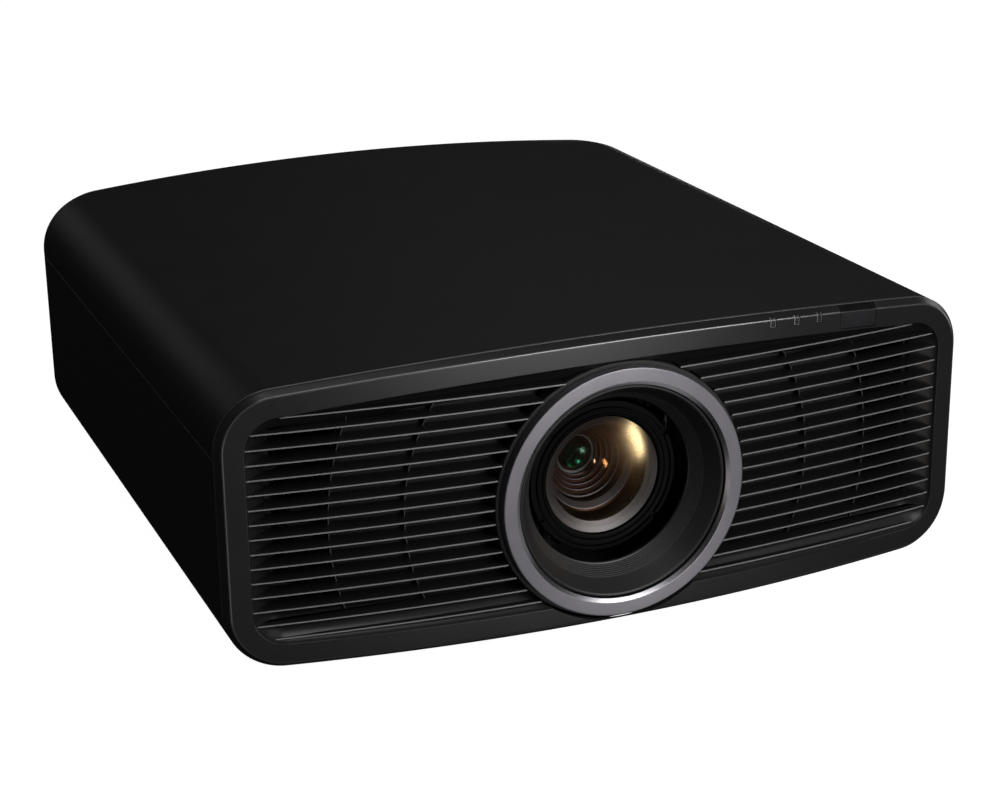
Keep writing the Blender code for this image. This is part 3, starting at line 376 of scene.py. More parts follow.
def reach_at(inset, z):
    """Half width of the section drawn `inset` inside, at height z."""
    for up in (1, -1):
        cx, cz, r, sweep = corner(inset, up)
        if up * (z - cz) > 0:
            rise = up * (z - cz)
            if rise < r * sin(sweep):
                return cx + sqrt(r**2 - rise**2)
            level, arch = (HEIGHT, TOP_ARCH) if up > 0 else (FLOOR, FLOOR_ARCH)
            return sqrt(max((up * (level - z) - inset) / arch, 0.0))
    return HALF - inset


# ---------------------------------------------------------------- materials


def tone(colour, factor, lift=0.0):
    """A colour made darker or lighter, as the four numbers a socket takes."""
    return (*[min(1.0, c * factor + lift) for c in colour], 1.0)


class Nodes:
    """Short hand for building one material's node tree. An input called i0 is the node's first socket."""

    def __init__(self, name):
        self.material = bpy.data.materials.new(name)
        self.material.use_nodes = True
        self.tree = self.material.node_tree
        self.shader = self.tree.nodes["Principled BSDF"]
        self.place = self.add("TexCoord").outputs["Object"]

    def add(self, kind, settings=None, **inputs):
        node = self.tree.nodes.new("ShaderNode" + kind)
        for key, value in (settings or {}).items():
            setattr(node, key, value)
        for key, value in inputs.items():
            socket = node.inputs[int(key[1:])] if key[0] == "i" and key[1:].isdigit() else node.inputs[key]
            self.feed(socket, value)
        return node

    def feed(self, socket, value):
        if isinstance(value, bpy.types.NodeSocket):
            self.tree.links.new(value, socket)
        else:
            socket.default_value = value

    def maths(self, operation, a, b=0.0):
        return self.add("Math", {"operation": operation}, i0=a, i1=b).outputs[0]

    def ranged(self, value, low, high, start=0.0, end=1.0):
        ends = {"From Min": start, "From Max": end, "To Min": low, "To Max": high}
        return self.add("MapRange", Value=value, **ends).outputs[0]

    def noise(self, millimetres, detail=2.0, rough=0.5, vector=None):
        settings = {"Scale": 1000 / millimetres, "Detail": detail, "Roughness": rough}
        settings["Vector"] = self.place if vector is None else vector
        return self.add("TexNoise", **settings).outputs[0]

    def mixed(self, factor, a, b):
        return self.add("Mix", {"data_type": "RGBA"}, i0=factor, i6=a, i7=b).outputs[2]

    def stretch(self, scale):
        return self.add("Mapping", Vector=self.place, Scale=scale).outputs[0]

    def bump(self, height, strength, distance):
        node = self.add("Bump", Height=height, Strength=strength, Distance=distance * MM)
        return node.outputs[0]

    def varied(self, value, colour, swing, start=0.3, end=0.7):
        """The colour drifting between a darker and a lighter shade with a noise."""
        share = self.ranged(value, 0.0, 1.0, start, end)
        return self.mixed(share, tone(colour, 1 - swing), tone(colour, 1 + swing))

    def edges(self, most, end):
        """Share of painted edge sheen, which grows on convex edges."""
        return self.ranged(self.add("NewGeometry").outputs["Pointiness"], 0.0, most, 0.53, end)

    def finish(self, colour, roughness, normal, **numbers):
        """Feeds the shader's main sockets and sets plain numbers on others, such as Coat_Weight."""
        for name, value in (("Base Color", colour), ("Roughness", roughness), ("Normal", normal)):
            self.feed(self.shader.inputs[name], value)
        for name, value in numbers.items():
            self.shader.inputs[name.replace("_", " ")].default_value = value
        return self.material


def moulded(name, colour, roughness, grain=0.35, depth=0.02, strength=0.5, specular=0.5, edge_sheen=0.25):
    """Moulded plastic: spark-eroded grain, slow changes of gloss, faint handling marks and paler edges
    painted as a sheen.
    """
    n = Nodes(name)
    fine = n.noise(grain, 3.0, 0.6)
    slow = n.noise(45.0, 3.0, 0.55)
    smear = n.noise(9.0, 4.0, vector=n.stretch((1.0, 0.3, 1.0)))
    rubbed = n.maths("MULTIPLY", n.ranged(smear, 0.0, 1.0, 0.58, 0.75), -0.02)
    # convex edges turn towards a much paler tone: a painted edge sheen
    base = n.mixed(n.edges(edge_sheen, 0.62), n.varied(slow, colour, 0.05), tone(colour, 3.2, 0.01))
    rough = n.maths("ADD", n.ranged(slow, roughness - 0.012, roughness + 0.012, 0.3, 0.7), rubbed)
    return n.finish(base, rough, n.bump(fine, strength, depth), Specular_IOR_Level=specular)


def painted_highlight_plastic(name, level, roughness, depth=0.006, specular=0.7):
    """Plastic of a narrow rounding, painted paler than its face: a painted highlight that reads as a thin
    line of light.
    """
    return moulded(name, (level,) * 3, roughness, 0.3, depth, specular=specular, edge_sheen=0.0)


def turned_metal(name, colour, roughness, lines=0.12, depth=0.004, anisotropy=0.0, metallic=1.0):
    """Lathe-turned surface: fine rings about the lens axis, with soft patches of tint."""
    n = Nodes(name)
    away = n.add("VectorMath", {"operation": "SUBTRACT"}, i0=n.place, i1=(0.0, 0.0, LENS_Z * MM))
    flat = n.add("VectorMath", {"operation": "MULTIPLY"}, i0=away.outputs[0], i1=(1.0, 0.0, 1.0))
    radius = n.add("VectorMath", {"operation": "LENGTH"}, i0=flat.outputs[0]).outputs["Value"]
    rings = n.add("TexNoise", {"noise_dimensions": "1D"}, W=radius, Scale=1000 / lines, Detail=3.0)
    rings = rings.outputs[0]
    fleck = n.ranged(n.noise(0.25, 2.0), -0.02, 0.02, 0.3, 0.7)
    rough = n.maths("ADD", n.ranged(rings, roughness - 0.06, roughness + 0.06, 0.3, 0.7), fleck)
    if anisotropy:
        n.shader.inputs["Anisotropic Rotation"].default_value = 0.25
        around = n.add("Tangent", {"direction_type": "RADIAL", "axis": "Y"})
        n.feed(n.shader.inputs["Tangent"], around.outputs[0])
    base = n.varied(n.noise(22.0, 2.0), colour, 0.05)
    return n.finish(base, rough, n.bump(rings, 0.35, depth), Metallic=metallic, Anisotropic=anisotropy)


def bare_metal(name, colour, roughness, grain=1.2, stretch=(1.0, 1.0, 1.0), depth=0.01, metallic=1.0):
    """Cast, plated or brushed metal: directional grain, patchy tarnish and brighter edges painted as a sheen.
    """
    n = Nodes(name)
    fine = n.noise(grain, 4.0, 0.6, n.stretch(stretch))
    base = n.varied(n.noise(14.0, 3.0), colour, 0.12, 0.32, 0.68)
    # convex edges turn brighter: a painted edge sheen
    base = n.mixed(n.edges(0.5, 0.65), base, tone(colour, 1.35))
    rough = n.ranged(fine, roughness - 0.09, roughness + 0.09, 0.3, 0.7)
    return n.finish(base, rough, n.bump(fine, 0.35, depth), Metallic=metallic)


def clear_glass(name, through, shine, fresnel_low, fresnel_high, roughness=0.015):
    """Coated lens glass: clear when faced, with a coloured mirror-like sheen that grows at its edges."""
    n = Nodes(name)
    n.tree.nodes.remove(n.shader)
    dust = n.ranged(n.noise(6.0, 4.0), 0.0, 1.0, 0.35, 0.75)
    tint = n.mixed(dust, tone(through, 0.97), tone(through, 1))
    pass_on = n.add("BsdfTransparent", Color=tint)
    warm = n.mixed(dust, tone(shine, 0.9), tone(shine, 1))
    mirror = n.add("BsdfGlossy", Color=warm)
    n.feed(mirror.inputs["Roughness"], n.ranged(dust, roughness, roughness + 0.03))
    facing = n.add("LayerWeight", Blend=0.5).outputs["Facing"]
    share = n.ranged(n.maths("POWER", facing, 2.5), fresnel_low, fresnel_high)
    mix = n.add("MixShader", i0=share, i1=pass_on.outputs[0], i2=mirror.outputs[0])
    n.feed(n.tree.nodes["Material Output"].inputs["Surface"], mix.outputs[0])
    return n.material


def smoked(name, colour, roughness=0.12, coat=0.4):
    """Smooth glossy plastic with hairline marks, for the dark window, light pipes and sockets."""
    n = Nodes(name)
    marks = n.noise(3.0, 4.0, vector=n.stretch((1.0, 6.0, 6.0)))
    base = n.varied(n.noise(12.0, 2.0), colour, 0.2)
    rough = n.ranged(marks, roughness, roughness + 0.08, 0.35, 0.75)
    return n.finish(base, rough, n.bump(marks, 0.08, 0.004), Coat_Weight=coat, Coat_Roughness=0.05)


def board_green(name):
    """Solder-masked board: fibre weave under the mask and pale pads."""
    n = Nodes(name)
    greens = {"Color1": (0.012, 0.085, 0.035, 1.0), "Color2": (0.018, 0.11, 0.045, 1.0)}
    greens["Mortar"] = (0.03, 0.16, 0.06, 1.0)
    weave = n.add("TexBrick", Vector=n.place, Scale=260.0, **greens)
    specks = n.add("TexVoronoi", Vector=n.place, Scale=420.0).outputs["Distance"]
    pads = n.ranged(specks, 1.0, 0.0, 0.05, 0.12)
    base = n.mixed(pads, weave.outputs["Color"], (0.6, 0.58, 0.5, 1.0))
    rough = n.ranged(n.noise(8.0), 0.3, 0.5, 0.3, 0.7)
    return n.finish(base, rough, n.bump(weave.outputs["Fac"], 0.3, 0.03))


def pleated_paper(name):
    """Filter paper: fibres along the pleats and grey patches of dust."""
    n = Nodes(name)
    fibre = n.noise(0.5, 5.0, 0.7, n.stretch((1.0, 1.0, 0.25)))
    dust = n.noise(10.0, 4.0)
    base = n.mixed(n.ranged(dust, 0.0, 0.6, 0.45, 0.75), (0.62, 0.61, 0.56, 1.0), (0.36, 0.34, 0.31, 1.0))
    return n.finish(base, n.ranged(fibre, 0.82, 0.97, 0.3, 0.7), n.bump(fibre, 0.6, 0.12))


CASE_BLACK = moulded("case_black", (0.0125, 0.0125, 0.0128), 0.48, grain=0.4, depth=0.018)
SATIN_BLACK = moulded("satin_black", (0.015, 0.015, 0.0152), 0.30, depth=0.012, specular=0.55)
BLADE_BLACK = moulded("blade_black", (0.0095, 0.0095, 0.0098), 0.42, depth=0.010, specular=0.55)
# The four paler edge finishes below are painted highlights on roundings and fronts.
BLADE_HIGHLIGHT = painted_highlight_plastic("blade_edge_painted_highlight", 0.24, 0.30, specular=0.9)
RIB_HIGHLIGHT = painted_highlight_plastic("rib_front_painted_highlight", 0.06, 0.34)
BEZEL_HIGHLIGHT = painted_highlight_plastic("bezel_edge_painted_highlight", 0.06, 0.22, specular=1.0)
CASE_HIGHLIGHT = painted_highlight_plastic("case_rim_painted_highlight", 0.05, 0.36, depth=0.008)
HOOD_BLACK = turned_metal("hood_black", (0.021, 0.021, 0.0215), 0.42, lines=0.3, depth=0.006, metallic=0.0)
DEEP_BLACK = moulded("deep_black", (0.004, 0.004, 0.004), 0.62, grain=0.5, specular=0.2, edge_sheen=0.0)
RING_FACE = turned_metal("ring_satin", (0.29, 0.28, 0.305), 0.44, lines=0.10, depth=0.002, anisotropy=0.35)
RING_EDGE = turned_metal("ring_polished", (0.35, 0.34, 0.36), 0.29, lines=0.08, depth=0.0003)
ANODISED = turned_metal("anodised_black_turned", (0.0075, 0.0075, 0.008), 0.40, lines=0.16, depth=0.002)
SILVER = turned_metal("silver_turned", (0.21, 0.205, 0.215), 0.50, lines=0.12, depth=0.002)
BRONZE = turned_metal("bronze_turned", (0.075, 0.040, 0.028), 0.30, lines=0.2, depth=0.003)
UMBER = turned_metal("umber_turned", (0.034, 0.019, 0.015), 0.42, lines=0.2, depth=0.003)
FRONT_GLASS = clear_glass("front_glass", (0.97, 0.95, 0.93), (1.0, 0.80, 0.46), 0.10, 0.50, 0.19)
BACK_GLASS = clear_glass("back_glass", (0.98, 0.96, 0.95), (0.9, 0.42, 0.22), 0.035, 0.2, 0.38)
AMBER_GLASS = clear_glass("amber_glass", (0.98, 0.97, 0.96), (1.0, 0.50, 0.22), 0.06, 0.16, 0.13)
PEACH_GLASS = clear_glass("peach_glass", (0.96, 0.96, 0.94), (1.0, 0.72, 0.55), 0.09, 0.25, 0.14)
GREEN_GLASS = clear_glass("green_glass", (0.94, 0.95, 0.94), (0.10, 0.85, 0.50), 0.30, 0.40, 0.12)
PALE_GLASS = clear_glass("pale_glass", (0.94, 0.95, 0.94), (0.40, 0.85, 0.62), 0.10, 0.20, 0.12)
SMOKED = smoked("smoked_window", (0.010, 0.009, 0.011), 0.36, 0.0)
LIGHT_PIPE = smoked("light_pipe", (0.024, 0.024, 0.025), 0.24, 0.5)
# Pale grey for the light pipes' rounded edges: a painted highlight.
PIPE_HIGHLIGHT = smoked("light_pipe_painted_highlight", (0.42, 0.42, 0.42), 0.24, 0.5)
GLOSS = smoked("gloss_black", (0.008, 0.008, 0.008), 0.16, 0.3)
RUBBER = moulded("rubber", (0.012, 0.012, 0.012), 0.78, grain=0.8, depth=0.05, strength=0.7, specular=0.3)
NICKEL = bare_metal("nickel", (0.56, 0.54, 0.50), 0.28, 0.8, (1.0, 0.2, 1.0))
GOLD = bare_metal("gold_contact", (0.86, 0.62, 0.26), 0.24, 0.5)
ALUMINIUM = bare_metal("aluminium", (0.70, 0.71, 0.72), 0.36, 0.6, (1.0, 1.0, 0.08))
CAST = bare_metal("cast_metal", (0.28, 0.28, 0.29), 0.52, 1.0, depth=0.05, metallic=0.8)
STEEL = bare_metal("steel", (0.58, 0.58, 0.60), 0.28, 0.5, (0.1, 1.0, 1.0))
ZINC = bare_metal("zinc_sheet", (0.52, 0.54, 0.55), 0.40, 3.0)
BRASS = bare_metal("brass", (0.74, 0.53, 0.22), 0.28, 0.5)
BOARD = board_green("circuit_board")
PAPER = pleated_paper("filter_paper")
PRISM = clear_glass("prism_glass", (0.80, 0.88, 0.86), (0.9, 0.95, 1.0), 0.06, 0.7)


# ---------------------------------------------------------------- casing


def case_path():
    """(y or None at the bowed front, extra depth, inset, sideways shrink, edge drop) round a shell's wall."""
    start = CASE_REAR - PLAN_RADIUS * sin(radians(PLAN_SWEEP))
    rim = (
        (0.0, WALL), (0.0, 0.95), (0.1, 0.78), (0.3, 0.7), (1.5, 0.7), (1.6, 0.66), (1.72, 0.42), (1.95, 0.2),
        (2.3, 0.06), (2.8, 0.0),
    )
    path = [(None, deeper, inset, 0, 0) for deeper, inset in rim]
    straight = spread(FRONT, start - 60, 8)[1:]
    path += [(y, 0.0, 0.0, 0, 0) for y in straight]
    bend = []
    for a in spread(0, radians(PLAN_SWEEP), 14):
        y = start + PLAN_RADIUS * sin(a)
        bend.append((y, PLAN_RADIUS * (1 - cos(a)), max(0.0, y - CASE_REAR + 3.0) ** 2 / 6))
    path += [(y, 0.0, 0.0, shrink, drop) for y, shrink, drop in bend[:-1]]
    y, shrink, drop = bend[-1]
    path += [(y - 0.4, 0.0, 0.05, shrink, drop), (y, 0.0, 0.45, shrink, drop), (y, 0.0, WALL, shrink, drop)]
    path += [(y, 0.0, WALL, shrink, drop) for y, shrink, drop in reversed(bend[:-1])]
    return path + [(y, 0.0, WALL, 0, 0) for y in reversed(straight)]


def case_shell(up):
    shape = bmesh.new()
    columns = []
    for y, deeper, inset, shrink, drop in case_path():
        column = []
        for x, z in full_run(inset, up):
            place = front_y(x, CASE_FRONT_DEPTH + deeper) if y is None else y
            share = abs(z - SEAM_Z) / (HEIGHT - SEAM_Z)
            fall = drop + REAR_FALL * (place - FRONT) / DEPTH if up > 0 else -drop
            column.append((x * (1 - shrink / HALF), place, z - fall * share))
        columns.append(column)
    add_loft(shape, [list(ring) for ring in zip(*columns)])
    return shape


def make_casing():
    def rim(face):
        """The rounded shoulder just behind the gap to the bezel, which takes a painted highlight."""
        c, n = face.calc_center_median(), face.normal
        return 1.62 < c.y - front_y(c.x, CASE_FRONT_DEPTH) < 2.4 and 0.25 < -n.y < 0.97

    finishes = [CASE_BLACK, CASE_HIGHLIGHT]
    add_piece("top_shell", case_shell(1), finishes, "casing", ["top_cover"], pick=rim)
    case = add_piece("bottom_shell", case_shell(-1), finishes, "casing", place=False, pick=rim)
    bosses, holes, steps = bmesh.new(), bmesh.new(), bmesh.new()
    foot_boss = ((0, 8.3), (13.5, 8.3), (14, 8.8), (14, 18.7), (0, 18.7))
    mount_boss = ((0, 10.5), (7.5, 10.5), (8, 11), (8, 18.7), (0, 18.7))
    for spot in FEET:
        add_turned(bosses, foot_boss, spot, 48, "Z")
        add_turned(holes, rod(4.6, 0, 25), spot, 32, "Z")
    for spot in BOSSES:
        add_turned(bosses, mount_boss, spot, 40, "Z")
        add_turned(holes, rod(2.6, 5, 17), spot, 24, "Z")
    for spot in CASE_SCREWS:
        add_turned(steps, rod(5.2, 8, 13.6), spot, 32, "Z")
    carve(case, bosses, operation="UNION")
    carve(case, holes, steps, lens_well(CASE_WELL_Y))
    settle(case, "casing", ["bottom_case"])
    make_underside()


def make_underside():
    """Case screws in their wells, and threaded inserts in the ceiling-mount bosses."""
    screws, inserts = bmesh.new(), bmesh.new()
    head = ((0, 13.0), (0.9, 13.0), (1.1, 12.6), (3.4, 12.6), (3.9, 13.0), (3.9, 14.2), (0, 14.2))
    thread = [(2.05 + 0.25 * (i % 2), 11.0 + i * 0.5) for i in range(11)]
    for spot in CASE_SCREWS:
        add_turned(screws, head, spot, 32, "Z")
    for spot in BOSSES:
        add_turned(inserts, [(2.5, 10.9)] + thread + [(2.55, 16.4)], spot, 24, "Z")
    add_piece("case_screws", screws, STEEL, "casing")
    add_piece("mount_inserts", inserts, BRASS, "casing")


def top_sweep(shape, profile, x0, x1, steps=8):
    """Sweeps an (inset, depth) outline along the bezel's top edge from x0 to x1."""
    rows = [[(x, front_y(x, depth), height_at(inset, x, 1)) for inset, depth in profile]
            for x in spread(x0, x1, steps)]
    add_loft(shape, rows)


# (inset, depth) points of the bezel's section: its hollow inner wall, its rounded shoulder, then all of it.
RECESS_WALL = ((14.5, 0.3), (14.9, 1.15), (15.6, 2.15), (17.0, 3.7), (19.4, 6.1), (22.6, 9.1), (27.0, 12.9))

BEZEL_SHOULDER = ((2.45, 0.78), (2.75, 0.46), (3.15, 0.2), (3.6, 0.05), (4.1, 0.0))

BEZEL_PROFILE = (
    (3.4, 4.1), (0.35, 4.1), (0.1, 4.0), (0.0, 3.75), (0.12, 3.5), *BEZEL_SHOULDER, (14.1, 0.0),
    (14.35, 0.08), *RECESS_WALL, (27.4, 13.4), (27.4, 14.8), (25.0, 14.8), (16.0, 6.4), (12.0, 3.0),
    (6.0, 3.0), (6.0, 14.0), (3.4, 14.0),
)


def make_bezel():
    def rounding(face):
        """The small radius between the bezel's outer chamfer and its face, which takes a painted highlight.
        """
        c, n = face.calc_center_median(), face.normal
        outward = n.x * c.x + n.z * (c.z - LENS_Z) > 0
        return outward and 0.03 < c.y - front_y(c.x, 0) < 0.66 and 0.7 < -n.y < 0.985

    frame_shape = bmesh.new()
    loops = [[(x, front_y(x, depth), z) for x, z in outline(inset)] for inset, depth in BEZEL_PROFILE]
    add_loft(frame_shape, loops, closed=True)
    finishes = [SATIN_BLACK, BEZEL_HIGHLIGHT]
    bezel = add_piece("bezel_frame", frame_shape, finishes, "casing", place=False, pick=rounding)
    window = ((-1.0, -1.0), (13.3, -1.0), (13.3, 3.2), (3.35, 3.2), (3.35, 5.0), (-1.0, 5.0))
    holes = bmesh.new()
    top_sweep(holes, window, IR_WINDOW_X[0], IR_WINDOW_X[1])
    for x in INDICATOR_X:
        top_sweep(holes, ((1.7, -1.0), (7.8, -1.0), (7.8, 3.4), (1.7, 3.4)), x - 1.95, x + 1.95, 2)
    carve(bezel, lens_well(BEZEL_WELL_Y), holes)
    settle(bezel, "casing", ["front_bezel"])

    pane = bmesh.new()
    profile = ((0.0, 4.1), (0.0, 3.75), *BEZEL_SHOULDER, (12.95, 0.0), (12.95, 2.6), (3.2, 2.6), (3.0, 4.1))
    top_sweep(pane, profile, IR_WINDOW_X[0] + 0.25, IR_WINDOW_X[1] - 0.25, 12)
    pane = add_piece("receiver_window", pane, [SMOKED, GLOSS], "casing", ["ir_window"],
                     pick=lambda face: face.normal.z > 0.5)
    soften(pane, 0.15, 2, 50)

    tips = bmesh.new()
    tip = ((3.9, 0.14), (7.5, 0.14), (7.5, 3.2), (6.7, 3.2), (6.7, 2.7), (2.0, 2.7), (2.0, 1.5), (2.9, 0.5))
    for x in INDICATOR_X:
        top_sweep(tips, tip, x - 1.65, x + 1.65, 2)
    bar = ((6.5, 3.1), (7.6, 3.1), (7.6, 4.8), (6.5, 4.8))
    top_sweep(tips, bar, INDICATOR_X[0] - 3, INDICATOR_X[2] + 3, 8)
    tips = add_piece("indicator_tips", tips, [LIGHT_PIPE, PIPE_HIGHLIGHT], "casing", ["indicator_light_pipe"],
                     pick=lambda face: False)
    soften(tips, 0.28, 2, 50)
    # The bevelled edges take the pale grey finish, a painted highlight.
    tips.modifiers[-1].material = 1


def slope_inset(depth):
    """Inset of the bezel's hollow inner wall at a depth."""
    for (near, start), (far, end) in zip(RECESS_WALL, RECESS_WALL[1:]):
        if depth <= end:
            return near + (far - near) * (depth - start) / (end - start)
    return RECESS_WALL[-1][0]


def make_blades():
    """Sixteen bowed blades, each in two halves that end on the bezel's slope and at the lens collar."""
    back = WALL_DEPTH - 0.05
    section = [(2.5, 0.0), (2.22, -0.1), (2.1, -0.27), (2.1, -0.93), (2.22, -1.1), (2.5, -BLADE_THICK)]
    section += [(d, -BLADE_THICK) for d in (3.7, 6.1, 9.1, 12.9, back)]
    section += [(d, 0.0) for d in (back, 12.9, 9.1, 6.1, 3.7)]
    shape = bmesh.new()
    for i in range(BLADES):
        z = BLADE_TOP - i * BLADE_PITCH
        middle = z - BLADE_THICK / 2
        inner = sqrt(WELL_RADIUS**2 - (middle - LENS_Z) ** 2) + 0.1
        for side in (-1, 1):
            rings = []
            for t in spread(0, 1, 26):
                ring = []
                for depth, drop in section:
                    outer = max(reach_at(slope_inset(depth), middle) + 0.12, inner + 1)
                    x = side * (inner + (outer - inner) * t)
                    ring.append((x, front_y(x, depth), z + drop))
                rings.append(ring)
            add_loft(shape, rings)

    # The blades' front faces take a paler finish: a painted highlight.
    def front_edge(face):
        c = face.calc_center_median()
        return c.y - front_y(c.x, 0.0) < 2.56 and abs(face.normal.y) > 0.9

    finishes = [BLADE_BLACK, BLADE_HIGHLIGHT]
    add_piece("louvre_blades", shape, finishes, "casing", pick=front_edge)


def make_grille_back():
    """Curved back wall with two side vents, its ribs and the seat that the lens surround rests on."""
    shape = bmesh.new()
    rings = []
    end = HALF - 24.6
    for x in spread(-end, end, 60):
        top, low = height_at(24.0, x, 1), height_at(24.0, x, -1)
        near, far = front_y(x, WALL_DEPTH), front_y(x, WALL_DEPTH + 2.0)
        rings.append([(x, near, low), (x, near, top), (x, far, top), (x, far, low)])
    add_loft(shape, rings)
    back = add_piece("grille_back", shape, BLADE_BLACK, "casing", place=False)
    vents = bmesh.new()
    for side in (-1, 1):
        rings = []
        for z in spread(*VENT_Z, 24):
            inner = sqrt(RIB_RADII[1] ** 2 - (z - LENS_Z) ** 2) + 2.0
            across = [side * x for x in (inner, (inner + VENT_END) / 2, VENT_END)]
            ring = [(x, front_y(x, WALL_DEPTH - 1), z) for x in across]
            rings.append(ring + [(x, front_y(x, WALL_DEPTH + 6), z) for x in reversed(across)])
        add_loft(vents, rings)
    carve(back, lens_well(GRILLE_WELL_Y), vents)
    settle(back, "casing", ["louvre_grille"])

    make_ribs()
    plug = WELL_RADIUS - 2.2
    seat = ((64.9, -222.3), (plug, -222.3), (plug, -218.2), (82.0, -218.2), (82.0, -216.2), (64.9, -216.2))
    add_piece("lens_seat", turned(seat), BLADE_BLACK, "casing")


def make_ribs():
    """Thin ribs bent round the lens, in short lengths between the blades, with paler fronts as a painted
    highlight.
    """
    ribs = bmesh.new()
    for radius in RIB_RADII:
        low = height_at(22.5, radius, -1) - LENS_Z
        high = height_at(22.5, radius, 1) - LENS_Z
        for side in (-1, 1):
            for level in range(-1, BLADES):
                top = BLADE_TOP - level * BLADE_PITCH - BLADE_THICK - 0.02 - LENS_Z
                bottom = top - BLADE_PITCH + BLADE_THICK + 0.04
                top, bottom = min(top, high), max(bottom, low)
                if top - bottom < 1.0:
                    continue
                rings = []
                for z in spread(bottom, top, 4):
                    x = side * sqrt(radius**2 - z**2)
                    near, far = front_y(x, RIB_DEPTH), front_y(x, WALL_DEPTH - 0.05)
                    half = ((0.4, far), (0.4, near + 0.2), (0.2, near))
                    section = [(-dx, y) for dx, y in half] + list(reversed(half))
                    rings.append([(x + dx, y, LENS_Z + z) for dx, y in section])
                add_loft(ribs, rings)
    # the rib fronts take the paler finish, a painted highlight
    add_piece("grille_ribs", ribs, [BLADE_BLACK, RIB_HIGHLIGHT], "casing",
              pick=lambda face: face.normal.y < -0.6)


# ---------------------------------------------------------------- lens surround


def lens_radius(spot):
    """Distance of a point from the lens axis."""
    return sqrt(spot.x**2 + (spot.z - LENS_Z) ** 2)


def make_lens_surround():
    """Black hood with a grooved inner cone and an outer flange, and the bright ring seated in it."""
    back = span("lens_hood")[1].y
    seat = -222.5
    flange = FLANGE_RADIUS
    cone = [(61.2, FRONT + 2.45), (60.5, FRONT + 2.75), (60.0, FRONT + 3.4)]
    cone += [(57.6, FRONT + 7.8), (55.3, FRONT + 11.7)]
    grooves = 8
    start, end = Vector((55.1, FRONT + 12.0)), Vector((49.5, FRONT + 21.0))
    for i in range(grooves):
        for part, dip in ((0.0, 0.0), (0.5, 0.0), (0.62, 0.5), (0.88, 0.5)):
            spot = start.lerp(end, (i + part) / grooves)
            cone.append((spot.x + dip, spot.y))
    cone += [(49.3, FRONT + 21.3), (49.3, back - 0.3), (49.6, back)]
    outside = [
        (51.3, back), (58.0, FRONT + 12.5), (62.0, FRONT + 8.0), (70.0, FRONT + 8.0), (70.0, seat),
        (flange - 0.6, seat), (flange, seat - 0.8), (flange, FRONT + 7.0), (flange - 0.15, FRONT + 6.4),
        (flange - 0.6, FRONT + 5.95), (flange - 1.2, FRONT + 5.8), (62.5, FRONT + 5.8), (62.3, FRONT + 3.2),
        (61.9, FRONT + 2.6),
    ]
    hood = turned(cone + outside, steps=160)
    add_piece("hood", hood, [HOOD_BLACK, CASE_BLACK], "casing", ["lens_hood"], sharp=28,
              pick=lambda face: lens_radius(face.calc_center_median()) > 62.1)

    ring = (
        (65.1, 0.0), (71.8, 0.0), (72.3, 0.1), (72.65, 0.35), (72.8, 0.8), (72.8, 5.3), (72.5, 5.5),
        (62.8, 5.5), (62.8, 1.75), (62.9, 1.5), (64.8, 0.12),
    )
    ring = turned(shifted(FRONT, ring), steps=192)
    add_piece("trim_ring", ring, [RING_FACE, RING_EDGE], "casing", ["lens_trim_ring"],
              pick=lambda face: lens_radius(face.calc_center_median()) < 65.2, sharp=24)


# ---------------------------------------------------------------- lens


def dome(rim, sag, apex, thickness, steps=14, bend=1.0):
    """Outline of a curved glass from the axis to its rim and back, its crown facing forward."""
    front = [(r, apex + sag * (r / rim) ** 2) for r in spread(0, rim, steps)]
    rear = [(r, apex + thickness + sag * bend * (r / rim) ** 2) for r in spread(0, rim - 0.4, steps)]
    return front + rear[::-1]


def add_glass(name, profile, steps, finish, body):
    add_piece(name, turned(profile, steps=steps), finish, body, sharp=GLASS_SHARP)


def make_front_group():
    """The focusing cell: its engraved ring, the stepped cone behind the front glass, and three glasses."""
    y = span("front_cell")[0].y
    cell = shifted(y, (
        (31.6, 10.2), (35.3, 10.2), (35.3, 3.0), (35.0, 1.6), (35.4, 0.2), (36.2, 0), (37.2, 0), (37.5, 0.9),
        (38.3, 0.9), (38.6, 0.1), (40.6, 0), (40.9, 1.3), (42.0, 1.3), (42.3, 0), (44.4, 0), (45.0, 0.6),
        (45.0, 12.2), (40.0, 12.2),
    )) + [(40.0, -172.0), (37.6, -172.0), (37.6, -186.0), (31.6, -186.0)]
    ring = add_piece("front_ring", turned(cell, steps=144), ANODISED, "front_group", place=False)
    notches = bmesh.new()
    for degrees in (28, 208, -42, 138):
        a = radians(degrees)
        at = Vector((43.2 * cos(a), 0, LENS_Z + 43.2 * sin(a)))
        turn = Matrix.Translation((at.x, y + 0.4, at.z)) @ Matrix.Rotation(-a, 4, "Y")
        bmesh.ops.create_cube(notches, size=1.0, matrix=turn @ Matrix.Diagonal((3.0, 3.0, 3.2, 1)))
    carve(ring, notches)
    settle(ring, "front_group", ["front_cell"])

    inner = (
        (34.7, 1.9), (34.3, 2.1), (29.2, 5.0), (28.9, 5.3), (28.9, 6.0), (29.6, 8.4), (28.6, 12.0),
        (27.9, 14.0), (27.2, 16.4), (26.2, 17.2), (25.7, 17.4), (23.5, 20.2), (23.0, 20.9), (22.9, 23.6),
        (31.2, 23.6), (31.2, 9.6), (34.7, 9.6),
    )

    def bronzed(face):
        deep = face.calc_center_median().y - y
        return not (1.8 < deep < 5.2 or 17.25 < deep < 20.8)

    cone = turned(shifted(y, inner), steps=144)
    add_piece("lens_cone", cone, [SILVER, BRONZE], "front_group", pick=bronzed,
              sharp=24)
    glass = turned(dome(34.9, 6.8, y - 5.1, 3.6, bend=0.86), steps=128)
    add_piece("front_glass", glass, [FRONT_GLASS, BACK_GLASS], "front_group", ["front_element"],
              sharp=GLASS_SHARP, pick=lambda face: face.normal.y > 0.2)
    add_glass("second_glass", dome(8.0, 1.7, y + 6.6, 1.2, bend=0.8), 72, AMBER_GLASS, "front_group")
    add_glass("third_glass", dome(4.6, 1.05, y + 16.5, 1.0, bend=0.8), 56, PEACH_GLASS, "front_group")


